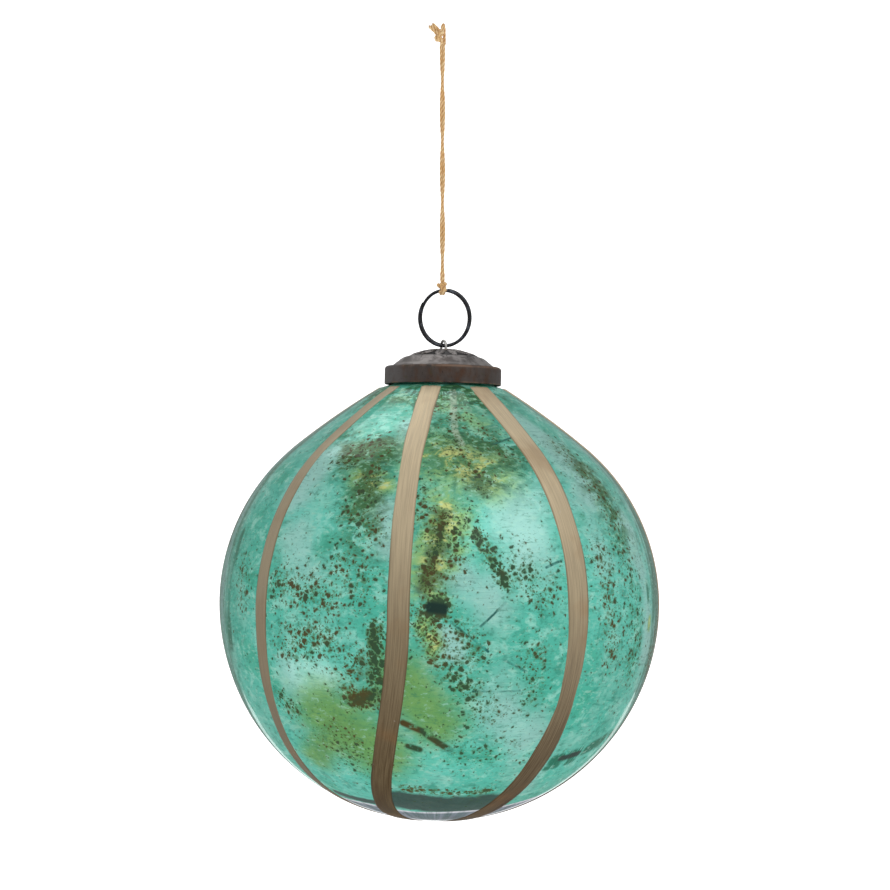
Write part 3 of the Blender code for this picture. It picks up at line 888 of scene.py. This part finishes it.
def make_dome(look, place):
    """The pressed dome: petals round a small collar at the eyelet, and a rolled ledge at its rim."""
    inner = DOME_RADIUS - DOME_WALL - 0.1 * MM
    edge = -DOME_RISE - FLANGE_DROP
    reach = DOME_HOLE + (DOME_RADIUS - DOME_HOLE) * np.linspace(0, 1, DOME_ROWS) ** 0.95
    outline = [(r, float(dome_height(r))) for r in reach]
    outline += [(DOME_RADIUS, edge), (FLANGE_RADIUS, edge)]
    outline += [(FLANGE_RADIUS, edge - DOME_WALL), (inner, edge - DOME_WALL)]
    outline += [(r, float(dome_height(r)) - DOME_WALL) for r in np.linspace(inner, DOME_HOLE, 14)]
    points = revolve(outline, DOME_COLUMNS).reshape(-1, 3)
    radius = np.linalg.norm(points[:, :2], axis=1)
    top = np.repeat(np.arange(len(outline)) < DOME_ROWS, DOME_COLUMNS)
    turn = np.arctan2(points[:, 0], -points[:, 1]) + 0.15 + 0.05 * ripple(points, 160.0, 5.0)
    petals = petal_height(radius, turn)
    zone = ramp(radius, 2.9 * MM, 3.7 * MM) * ramp(radius, 12.0 * MM, 9.0 * MM)
    collar = 0.12 * MM * np.exp(-((radius - 2.6 * MM) / (0.3 * MM)) ** 2)
    swirl = 0.12 * MM * ripple(points, 420.0, 2.0) * ramp(radius, 13.4 * MM, 11.4 * MM)
    shoulder = 0.35 * MM * np.exp(-((radius - 11.5 * MM) / (2.2 * MM)) ** 2)
    lift = zone * (petals - 0.60) * 0.50 * MM + swirl + collar + shoulder
    points[:, 2] += np.where(top, np.minimum(lift, 0.40 * MM), 0.0)
    hollow = np.where(top, zone * (1 - petals), 0.0)
    ledge = np.where(top, 0.7 * peak(radius, 14.3 * MM, 0.45 * MM), 0.0)
    faces = grid_faces(len(outline), DOME_COLUMNS, True, True)
    mesh = make_mesh(points, faces, hollow=hollow, ledge=ledge)
    place = place @ Matrix.Translation((0, 0, BAND_ABOVE_CENTRE + BAND_HEIGHT + DOME_RISE))
    return add_piece("pressed_dome", mesh, look, "ornament", ["cap_dome"], place, 50.0)


# ---------------------------------------------------------------- glass ball


def ball_outline(angle, out=0.0):
    """(radius, height) on the ball's outline, a distance outside it, from the ball's centre."""
    turn = math.radians(angle)
    direction = (math.cos(turn), math.sin(turn))
    upper = BALL_RADIUS - UPPER_ARC_SHIFT
    if angle <= 0:
        base = (BALL_RADIUS * direction[0], BALL_SQUASH * BALL_RADIUS * direction[1])
    elif angle <= UPPER_ARC_END:
        base = (UPPER_ARC_SHIFT + upper * direction[0], upper * direction[1])
    else:
        join = math.radians(UPPER_ARC_END)
        inset = SHOULDER_RADIUS - upper
        base = (
            UPPER_ARC_SHIFT - inset * math.cos(join) + SHOULDER_RADIUS * direction[0],
            -inset * math.sin(join) + SHOULDER_RADIUS * direction[1],
        )
    return base[0] + out * direction[0], base[1] + out * direction[1]


def ball_point(longitude, angle, out=0.0):
    radius, height = ball_outline(angle, out)
    turn = math.radians(longitude)
    return Vector((radius * math.sin(turn), -radius * math.cos(turn), height))


# Places on the glass: from longitude and angle, to longitude and angle, reach in millimetres, strength.
# Foxing: brown spots in the mirror coat; the strong spot at longitude 0 near the middle is the painted dark
# reflection of the camera.
FOXING = (
    (-33, 44, -24, 50, 5, 0.6), (-21, 42, -21, 33, 4, 0.56), (-24, 27, -17, 22, 4.5, 0.55),
    (-1, 55, 22, 49, 5.5, 0.46), (4, 52, 8, 42, 6, 0.42), (11, 40, 12, 36, 3.2, 0.6),
    (1, 27, -3, 8, 2.2, 0.92), (5, 25, 2, 12, 5, 0.56), (9, 22, 16, 9, 2, 0.9), (0, 3, 0, 2, 3.2, 1.35),
    (-5, 1, 1, -10, 4, 0.62), (5, -3, 9, -9, 4, 0.55), (-42, 7, -28, 4, 6.5, 0.55),
    (-38, -8, -28, -6, 6.5, 0.58), (-24, 13, -19, 8, 7, 0.5), (-15, -3, -15, -16, 2.6, 0.95),
    (-20, -10, -24, -18, 4, 0.56), (2, -8, 12, -24, 7, 0.46), (-21, -21, -16, -20, 2.9, 1.15),
    (3, -14, 5, -14, 1.2, 1.1), (5, -17, 8, -17, 1.1, 1.05), (20, 12, 26, 7, 7, 0.5),
    (24, -8, 24, -20, 5, 0.46), (52, 50, 56, 27, 5, 0.46), (45, 16, 49, -9, 5, 0.52),
    (55, 20, 60, -14, 6, 0.5), (-60, 12, -58, 2, 4, 0.52), (-46, -22, -42, -26, 3, 0.6),
    (-30, -34, -22, -40, 8, 0.48), (4, -33, 16, -36, 9, 0.36), (-12, -50, 22, -51, 1.8, 0.8),
    (-6, 33, -2, 20, 4, 0.5),
)
# Pale: partly paler mirror coat, partly painted reflections of the softboxes and the surroundings, and a
# painted glint below the middle.
PALE = (
    (21, 33, 22, 16, 9.5, 0.65), (-40, -17, -32, -17, 6, 0.85), (-14, 30, -13, 18, 4, 0.7),
    (12, 8, 13, 4, 7, 0.6), (14, -20, 26, -32, 9, 0.6), (2, -5, 4, -8, 3, 1), (-14, 53, -13, 48, 3.5, 0.7),
    (8, 57, 5, 53, 1.1, 0.8), (36, -35, 40, -52, 4, 0.45), (-42, 46, -46, 32, 6, 0.75),
    (6, 10, 8, 7, 6, 0.55), (42, 54, 50, 42, 4.5, 0.9), (-40, 20, -34, 12, 7, 0.5),
    (42, 30, 46, 14, 5, 0.5), (48, 50, 48, 34, 6, 0.7), (68, -10, 62, 24, 5, 0.7),
)
# Warm: partly the mirror coat's yellow-green tint, partly painted yellow highlights and glints.
WARM = (
    (-4, 47, 14, 41, 10, 0.92), (-2, 56, 20, 53, 6, 0.6), (2, 30, -2, 10, 7.5, 0.92),
    (4, 24, 4, 18, 6, 0.7), (-24, 38, -17, 36, 4, 0.95), (-3, -2, -1, -7, 3, 1),
    (-21, -21, -16, -21, 4, 0.6), (68, -2, 68, -4, 1.4, 1), (8, 46, 16, 44, 6, 0.6),
    (-12, 46, -10, 40, 4, 0.6), (104, 40, 122, 30, 7, 0.85), (196, 6, 204, -16, 7, 0.8),
    (238, 40, 246, 26, 6, 0.85),
)
LEAF = (
    (-31, -26, -18, -36, 10, 1), (-9, -15, 0, -27, 7.5, 0.95), (-42, -40, -32, -32, 6, 0.85),
    (-27, 40, -22, 30, 5, 0.5), (92, -24, 104, -34, 8, 0.9), (150, -12, 158, -26, 7, 0.9),
    (222, -30, 240, -38, 8, 0.9),
)
# Deep green: partly streaks in the mirror coat, partly painted shade under the cap, beside the right
# stripe's lower end and along the limbs.
DEEP = (
    (-27, 57, -14, 56, 4.5, 0.95), (-2, 57, 26, 56, 4, 0.9), (69, 57, 76, 50, 4, 0.6),
    (42, -40, 66, -34, 2, 1.25), (40, -43, 52, -41, 1.2, 0.8), (29, -57, 34, -43, 1.4, 1),
    (-52, -45, -20, -54, 2.5, 0.5), (-66, 20, -68, -10, 2.2, 0.9), (60, 14, 62, -8, 2, 0.5),
    (66, 20, 67, 4, 1.5, 0.9),
)
# Moss: the mottled green of the glass near the cap, partly painted shade in a ring just under it.
MOSS = (
    (-30, 57, -12, 57, 4.5, 1.3), (-6, 57, 24, 57, 6.5, 1.8), (-2, 52, 22, 49, 8, 0.9),
    (-27, 44, -20, 46, 7, 0.85), (-24, 36, -20, 22, 6, 0.75), (2, 42, 20, 40, 7, 0.7),
    (52, 50, 55, 44, 4, 0.5), (53, 40, 57, 24, 5.5, 0.8), (-46, 52, -34, 50, 4, 0.6),
    (128, 50, 150, 46, 8, 0.8), (196, 52, 236, 50, 8, 0.8), (96, 56, 160, 56, 5, 0.8),
    (180, 57, 300, 57, 5, 0.9), (262, 44, 268, 30, 6, 0.7),
)
STAIN = (
    (-31, 46, -24, 47, 6, 1.15), (-23, 38, -19, 28, 4.6, 0.9), (8, 39, 14, 36, 4.5, 0.9),
    (4, 51, 22, 47, 5.5, 0.75), (1, 27, -3, 8, 3.4, 0.8), (55, 43, 58, 28, 4.5, 0.65),
    (-21, -21, -16, -20, 4, 0.6), (-15, -3, -18, -14, 3, 0.5), (112, 32, 118, 12, 5, 0.8),
    (158, 44, 166, 30, 6, 0.8), (206, 20, 202, -6, 5, 0.8), (246, -12, 254, -26, 6, 0.7),
)
# Gloom: painted dark reflection low on the ball, above the foot.
GLOOM = (
    (-16, -57, 24, -58, 5.5, 1), (-52, -57, -24, -60, 1.8, 0.9), (44, -39.5, 52, -38.5, 1.3, 0.75),
    (120, -58, 200, -60, 4, 0.8),
)
# Thin strokes on the glass: from longitude and angle, to longitude and angle.
SCRATCHES = (
    (16, 4, 10, -2), (3, -1, 12, -8), (16, -10, 22, -13), (27, 13, 32, 15), (9, -18, 21, -18),
    (19, 51, 31, 52),
)
# The painted dark reflection of the camera near the middle.
CAMERA_REFLECTION = (-2, 2.6, 1, 2.2)
DRIPS = (
    (8, 57.6, 5.5, 52.5), (5.5, 52.5, 7.5, 51),
)
DARK_STROKES = (
    (-9, -27, -2, -30), (-3, -30, 4, -35), (-8, -34, -5, -35),
)


def back_patches(source, count, reach, strength):
    """More patches for the sides and back, where the front's list has none."""
    made = []
    for _ in range(count):
        longitude = source.uniform(75, 285)
        angle = source.uniform(-50, 52)
        made.append((longitude, angle, longitude + source.uniform(-8, 8), angle + source.uniform(-14, 14),
                     source.uniform(0.5, 1.0) * reach, source.uniform(0.6, 1.0) * strength))
    return made


def field(points, patches):
    """How strongly each point lies in the patches, 0 to 1 and over."""
    clear = np.zeros(len(points))
    for lon_a, angle_a, lon_b, angle_b, reach, strength in patches:
        start = np.array(ball_point(lon_a, angle_a))
        along = np.array(ball_point(lon_b, angle_b)) - start
        share = np.clip((points - start) @ along / max(along @ along, 1e-12), 0, 1)
        gap = np.linalg.norm(points - start - share[:, None] * along, axis=1) / (reach * MM)
        clear = np.maximum(clear, strength * np.exp(-0.7 * gap**2))
    return clear


def glass_look():
    """Tinted glass over an aged mirror coat that has gone brown in spots, with painted reflections,
    highlights and shade.
    """
    look = Look("silvered_aqua_glass", rgb(84, 194, 170), Specular_IOR_Level=0.0,
                Coat_Weight=0.7, Coat_Roughness=0.04, Coat_IOR=1.4)
    cloud = look.noise(75.0, 4.0, 0.6)
    medium = look.streaks(170.0, 170.0, 240.0, 5.0, 0.65, 0.5)
    dabs = look.streaks(480.0, 480.0, 900.0, 4.0, 0.62, 0.3)
    streak = look.noise(1.0, 4.0, 0.62, look.attribute("streak", "Vector"), 0.4)
    paint_tint(look, cloud, medium)
    paint_patches(look, cloud, medium, streak)
    paint_moss(look, medium, dabs)
    # Painted reflection: streaked grey on the limbs.
    grey = look.times(look.attribute("grey"), look.step(streak, 0.64, 0.36, 0.3, 1.2))
    look.over(look.step(grey, 0.2, 0.9, 0.0, 0.85), rgb(84, 104, 108))
    look.over(look.step(dabs, 0.54, 0.70, 0.0, 0.5), rgb(176, 230, 210))
    look.over(look.step(dabs, 0.45, 0.30, 0.0, 0.5), rgb(48, 122, 98))
    threads = look.streaks(260.0, 260.0, 2200.0, 2.0, 0.5)
    look.over(look.step(threads, 0.56, 0.72, 0.0, 0.25), rgb(50, 130, 104))
    foot = paint_foot(look, medium, streak)
    inside, dark = paint_foxing(look, cloud, medium)
    paint_marks(look, medium)
    # Painted highlight: a near-white line just below the mirror coat's edge near the foot.
    glint = look.times(look.step(foot, -0.9, 0.0), look.step(foot, 1.2, 0.3))
    look.over(look.times(glint, look.step(streak, 0.3, 0.5, 0.4, 1.0)), rgb(236, 238, 246))
    coat = look.step(dark, 0.0, 0.8, 1.0, 0.15)
    look.set("Metallic", look.times(coat, look.step(cloud, 0.3, 0.7, 0.30, 0.5)))
    return look.finish(look.step(inside, -0.1, 0.1, 0.28, 0.5),
                       look.bump(dabs, 0.00003, look.bump(cloud, 0.0003)))


def paint_tint(look, cloud, medium):
    """The aqua tint, uneven from large clouds down to small dabs."""
    look.over(look.step(look.noise(24.0, 3.0, 0.5), 0.36, 0.64), rgb(108, 214, 194))
    look.over(look.step(cloud, 0.50, 0.70, 0.0, 0.6), rgb(154, 232, 212))
    look.over(look.step(cloud, 0.48, 0.28, 0.0, 0.6), rgb(60, 168, 134))
    look.over(look.step(medium, 0.51, 0.66, 0.0, 0.7), rgb(162, 232, 214))
    look.over(look.step(medium, 0.47, 0.33, 0.0, 0.65), rgb(54, 154, 130))


def paint_patches(look, cloud, medium, streak):
    """Patches of other colours: pale and yellow, partly painted reflection and highlight; leaf green; deep
    green, partly painted shade; and brown.
    """
    # Pale: partly paler mirror coat, partly painted reflection, also laid on the limbs.
    pale = look.times(look.attribute("pale"), look.step(cloud, 0.25, 0.60, 0.55, 1.1))
    look.over(look.step(pale, 0.10, 0.75, 0.0, 0.9), rgb(168, 222, 212))
    # Warm: partly yellow-green tint, partly painted highlight.
    warm = look.times(look.attribute("warm"), look.step(medium, 0.34, 0.62, 0.55, 1.15))
    look.over(look.step(warm, 0.20, 0.85, 0.0, 0.85), rgb(150, 194, 112))
    look.over(look.step(warm, 0.78, 1.02, 0.0, 0.8), rgb(222, 226, 140))
    leaf = look.math("ADD", look.attribute("leaf"), look.times(medium, 0.6))
    leaf_green = look.mix(medium, rgb(86, 150, 84), rgb(136, 184, 100))
    look.over(look.step(leaf, 0.38, 1.25, 0.0, 0.95), leaf_green)
    # Deep green: partly streaks, partly painted shade, also laid on the limbs.
    deep = look.times(look.attribute("deep"), look.step(streak, 0.42, 0.56, 0.2, 1.2))
    deep_green = look.mix(medium, rgb(14, 92, 66), rgb(36, 134, 104))
    look.over(look.step(deep, 0.25, 0.85, 0.0, 0.9), deep_green)
    stain = look.times(look.attribute("stain"), look.step(medium, 0.62, 0.36, 0.55, 1.2))
    look.over(look.step(stain, 0.15, 0.85, 0.0, 0.85), rgb(88, 92, 56))


def paint_moss(look, medium, dabs):
    """Mottled moss green near the cap, partly painted shade under it, and a pale drip that has run down
    through it.
    """
    moss = look.attribute("moss")
    look.over(look.times(moss, look.step(medium, 0.60, 0.44)), rgb(58, 118, 70))
    look.over(look.times(moss, look.step(dabs, 0.50, 0.60, 0.0, 0.6)), rgb(132, 200, 156))
    look.over(look.times(moss, look.step(dabs, 0.44, 0.34, 0.0, 0.9)), rgb(48, 84, 52))
    for ends in DRIPS:
        line = look.stroke(ends, 1.3 * MM)
        look.over(look.times(line, look.step(dabs, 0.34, 0.56, 0.15, 0.85)), rgb(172, 196, 170))


def paint_foot(look, medium, streak):
    """A painted dark reflection band above the foot, and bare glass below the edge of the mirror coat,
    painted grey as reflection.
    """
    foot = look.attribute("foot")
    # Painted reflection: dark, above the foot.
    gloom = look.math("ADD", look.attribute("gloom"), look.times(medium, 0.6))
    look.over(look.step(gloom, 0.62, 0.92, 0.0, 0.9), rgb(50, 62, 58))
    # Bare glass below the mirror coat's edge, its grey and lilac a painted reflection.
    bare = look.mix(look.step(streak, 0.38, 0.62), rgb(92, 92, 108), rgb(150, 144, 166))
    look.over(look.step(foot, -1.0, 0.6, 0.0, 0.85), bare)
    return foot


def paint_foxing(look, cloud, medium):
    """Brown spots of three sizes with greenish rims, and short dark strokes."""
    foxing = look.attribute("foxing")
    ragged = look.warped(700.0, 1.7 * MM)
    size = look.times(foxing, 0.56)
    small = look.spots(1350.0, ragged, look.math("SUBTRACT", size, 0.02))
    middle = look.spots(640.0, ragged, look.math("ADD", size, 0.04))
    large_size = look.math("ADD", look.times(foxing, 0.80), -0.34)
    large = look.spots(330.0, look.warped(500.0, 2.0 * MM), large_size)
    inside = look.math("MAXIMUM", look.math("MAXIMUM", small, middle), large)
    rim = look.times(look.step(inside, -0.20, 0.0), look.step(foxing, 0.15, 0.7, 0.25, 0.8))
    look.over(rim, rgb(84, 118, 62))
    dark = look.step(inside, -0.02, 0.12, 0.0, 0.94)
    for ends in DARK_STROKES:
        line = look.times(look.stroke(ends, 1.5 * MM), look.step(medium, 0.34, 0.5))
        dark = look.math("MAXIMUM", dark, line)
    look.over(dark, look.mix(look.step(cloud, 0.42, 0.58), rgb(44, 72, 48), rgb(74, 62, 30)))
    return inside, dark


def paint_marks(look, medium):
    """A painted dark reflection of the camera near the middle, and thin scratches."""
    # Painted reflection: the camera, dark, near the middle.
    camera_reflection = look.stroke(CAMERA_REFLECTION, 2.1 * MM)
    look.over(look.times(camera_reflection, look.step(medium, 0.3, 0.45, 0.6, 0.95)), rgb(14, 46, 40))
    for ends in SCRATCHES:
        line = look.stroke(ends, 0.5 * MM)
        look.over(look.times(line, look.step(medium, 0.4, 0.6, 0.2, 0.95)), rgb(24, 92, 84))


def outline_side(out, lower, upper, shoulder):
    """The wall's outline from under the foot up to the shoulder's end."""
    angles = [-90 + 90 * i / lower for i in range(lower)]
    angles += [UPPER_ARC_END * i / upper for i in range(upper)]
    span = SHOULDER_END - UPPER_ARC_END
    angles += [UPPER_ARC_END + span * i / shoulder for i in range(shoulder + 1)]
    return [ball_outline(a, out) for a in angles[1:]]


def ball_shape():
    """Points and faces of the blown ball's wall, closed round the rim of its neck."""
    inner = NECK_RADIUS - GLASS_WALL
    outline = outline_side(0.0, 92, 56, 30)
    outline += [(NECK_RADIUS + x * MM, z * MM) for x, z in NECK_FOOT_OUTSIDE]
    outline += arc((NECK_RADIUS - NECK_RIM, NECK_TOP - NECK_RIM), NECK_RIM, 0, 180, 10)
    inside = outline_side(-GLASS_WALL, 18, 12, 5)
    inside += [(inner + x * MM, z * MM) for x, z in NECK_FOOT_INSIDE]
    outline += inside[::-1]
    points = revolve(outline, BALL_COLUMNS).reshape(-1, 3)
    lowest = len(points)
    faces = grid_faces(len(outline), BALL_COLUMNS, False, True)
    for j in range(BALL_COLUMNS):
        k = (j + 1) % BALL_COLUMNS
        faces.append((lowest, k, j))
        faces.append((lowest + 1, lowest - BALL_COLUMNS + j, lowest - BALL_COLUMNS + k))
    foot = -BALL_SQUASH * BALL_RADIUS
    points = np.concatenate([points, [(0.0, 0.0, foot), (0.0, 0.0, foot + GLASS_WALL)]])
    swell = ripple(points, 22.0, 1.0) * 0.22 * MM + ripple(points, 65.0, 4.0) * 0.06 * MM
    below_neck = points[:, 2] < 0.9 * NECK_TOP
    points *= (1 + swell * below_neck / np.linalg.norm(points, axis=1))[:, None]
    return points, faces


def make_ball(look, place):
    """The blown ball, with the fields that its colours follow."""
    points, faces = ball_shape()
    source = random.Random(7)
    longitude = np.degrees(np.arctan2(points[:, 0], -points[:, 1]))
    latitude = np.degrees(np.arcsin(np.clip(points[:, 2] / (BALL_SQUASH * BALL_RADIUS), -1, 1)))
    flat = np.maximum(np.linalg.norm(points[:, :2], axis=1), 1e-6)
    streak = [points[:, 0] / flat * 15, points[:, 1] / flat * 15, points[:, 2] / BALL_RADIUS * 1.6]
    # side: the limbs left and right as seen from the front, where pale, deep and grey lay painted
    # reflection and painted shade.
    side = ramp(np.abs(longitude), 62, 74) * ramp(np.abs(longitude), 104, 86)
    past = np.radians(longitude - 5.0)
    coat_edge = 2.0 * np.sin(past) - 61.0 - 4.0 * np.cos(2 * past) + 1.2 * ripple(points, 80.0, 9.0)
    foxing = (*FOXING, *back_patches(source, 30, 7.0, 0.75), *back_patches(source, 16, 2.6, 1.1))
    pale = (*PALE, *back_patches(source, 8, 10.0, 0.8))
    deep = (*DEEP, *back_patches(source, 7, 2.5, 0.9))
    mesh = make_mesh(
        points, faces,
        foxing=field(points, foxing),
        pale=np.maximum(field(points, pale), 0.45 * side),
        warm=field(points, WARM),
        leaf=field(points, LEAF),
        deep=np.maximum(field(points, deep), 0.75 * side),
        grey=0.5 * side,
        moss=field(points, MOSS),
        stain=field(points, STAIN),
        gloom=field(points, GLOOM),
        foot=coat_edge - latitude,
        streak=np.stack(streak, axis=1),
    )
    return add_piece("silvered_glass_ball", mesh, look, "ornament", ["glass_ball"], place)


# ---------------------------------------------------------------- painted stripes


def stripe_look():
    """Brushed metallic paint, with painted light at the top and painted shade towards the foot and along
    its edges.
    """
    look = Look("taupe_gold_paint", rgb(60, 42, 16), Metallic=0.3, Specular_IOR_Level=0.2)
    # Painted light and shade: dark brown low down, going to pale near the top.
    look.over(look.step(look.height(), -0.060, 0.072), rgb(230, 212, 178))
    brush = look.noise(1.0, 4.0, 0.6, look.attribute("brush", "Vector"))
    bright = look.step(brush, 0.34, 0.66)
    dull = look.mix(0.22, look.colour, rgb(84, 62, 40))
    look.colour = look.mix(bright, dull, look.mix(0.14, look.colour, rgb(230, 206, 160)))
    look.over(look.step(look.noise(55.0), 0.52, 0.70, 0.0, 0.35), rgb(150, 108, 66))
    look.over(look.step(look.noise(300.0, 2.0), 0.70, 0.78, 0.0, 0.5), rgb(214, 206, 200))
    look.over(look.attribute("rosy"), rgb(142, 132, 112))
    # Painted shade, dark brown, over one stripe's lower half.
    look.over(look.attribute("umber"), rgb(84, 64, 26))
    # Painted shade along the stripe's two edges.
    look.over(look.step(look.attribute("across"), 0.80, 1.0, 0.0, 0.55), rgb(92, 76, 52))
    return look.finish(look.step(brush, 0.3, 0.7, 0.34, 0.5), look.bump(brush, 0.00005))


def stripe_longitude(angle, stripe):
    start, to_foot, to_cap, _ = stripe
    drift = to_foot if angle < 0 else to_cap
    return start + drift * (angle / DRIFT_LATITUDE) ** 2


def stripe_row(number, stripe, angle, run):
    """One row of points across a stripe, on its top and back underneath, with their shares of the width."""
    middle = stripe_longitude(angle, stripe)
    radius = ball_outline(angle)[0]
    points, shares = [], []
    for under in (False, True):
        for i in range(STRIPE_STEPS + 1):
            share = (2 * i / STRIPE_STEPS - 1) * (-1 if under else 1)
            wander = noise.noise(Vector((run * 90, 7.0 * number, share > 0))) * 0.16 * MM
            offset = math.degrees((share * (stripe[3] / 2 + wander)) / radius)
            lift = -STRIPE_SUNK if under else STRIPE_LIFT * (1 - abs(share) ** 6) + 0.02 * MM
            point = ball_point(middle + offset, angle, lift)
            if angle > SHOULDER_END - 0.8:
                point.z -= abs(0.25 * MM * noise.noise(Vector((share * 6, number * 3.0, 0.5))))
            points.append(point)
            shares.append(share)
    return points, shares


def make_stripe(number, stripe, look, place):
    """A thin raised band of paint with soft shoulders, wandering edges and a ragged upper end."""
    below = np.linspace(STRIPE_FOOT, UPPER_ARC_END, 170)
    angles = [*below, *np.linspace(UPPER_ARC_END, SHOULDER_END, 40)[1:]]
    points, across, brush = [], [], []
    columns = 2 * (STRIPE_STEPS + 1)
    runs = runs_along([ball_point(stripe_longitude(angle, stripe), angle) for angle in angles])
    for angle, run in zip(angles, runs):
        row, shares = stripe_row(number, stripe, angle, run)
        points += row
        across += [abs(share) if i <= STRIPE_STEPS else 0.0 for i, share in enumerate(shares)]
        brush += [(share * stripe[3] * 1500, run * 60, number * 10.0) for share in shares]
    faces = grid_faces(len(angles), columns, False, True)
    faces.append(tuple(range(columns)))
    faces.append(tuple(range(len(points) - columns, len(points)))[::-1])
    height = np.array([p.z for p in points])
    rosy = np.full(len(points), STRIPE_ROSY.get(number, 0.0))
    # Painted shade over the lower half of the stripes listed for it.
    umber = STRIPE_LOWER_SHADE.get(number, 0.0) * ramp(height, 24 * MM, -6 * MM)
    mesh = make_mesh(points, faces, across=across, brush=brush, rosy=rosy, umber=umber)
    name = f"painted_stripe_{number}"
    return add_piece(name, mesh, look, "ornament", [f"stripe_{number}"], place)


# ---------------------------------------------------------------- pieces hidden inside


def hidden_looks():
    """Finishes for the mirror coat and the cement, which stay as the CAD made them."""
    silver = Look("mirror_coat", rgb(205, 218, 212), Metallic=1.0)
    fog = silver.noise(90.0, 4.0)
    silver.over(silver.step(fog, 0.4, 0.65), rgb(120, 122, 96))
    silver.finish(silver.step(fog, 0.35, 0.7, 0.15, 0.5))
    cement = Look("cap_plaster", rgb(150, 142, 120), Roughness=0.9)
    grit = cement.noise(700.0, 4.0)
    cement.over(grit, rgb(214, 206, 186))
    cement.finish(normal=cement.bump(grit, 0.0002))
    for node, look in (("silvered_lining", silver), ("cap_cement", cement)):
        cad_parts[node].data.materials.clear()
        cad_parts[node].data.materials.append(look.material)


# ---------------------------------------------------------------- the scene


def main():
    place = ball_frame()
    centre = place.translation
    make_camera(centre)
    thread = cord_look()
    cord, path = make_cord(thread)
    cord_pieces = make_knot(thread) + make_frays(thread, path) + make_hitch(thread)
    make_world()
    make_lights(centre)
    make_stage(CAD_BOX[0].z)
    make_ring(black_wire_look())
    make_eyelet(eyelet_look())
    make_band(band_look(), place)
    make_dome(dome_look(), place)
    make_ball(glass_look(), place)
    paint = stripe_look()
    for number, stripe in enumerate(STRIPES, 1):
        make_stripe(number, stripe, paint, place)
    hidden_looks()
    bpy.context.scene.view_settings.view_transform = "Standard"


main()
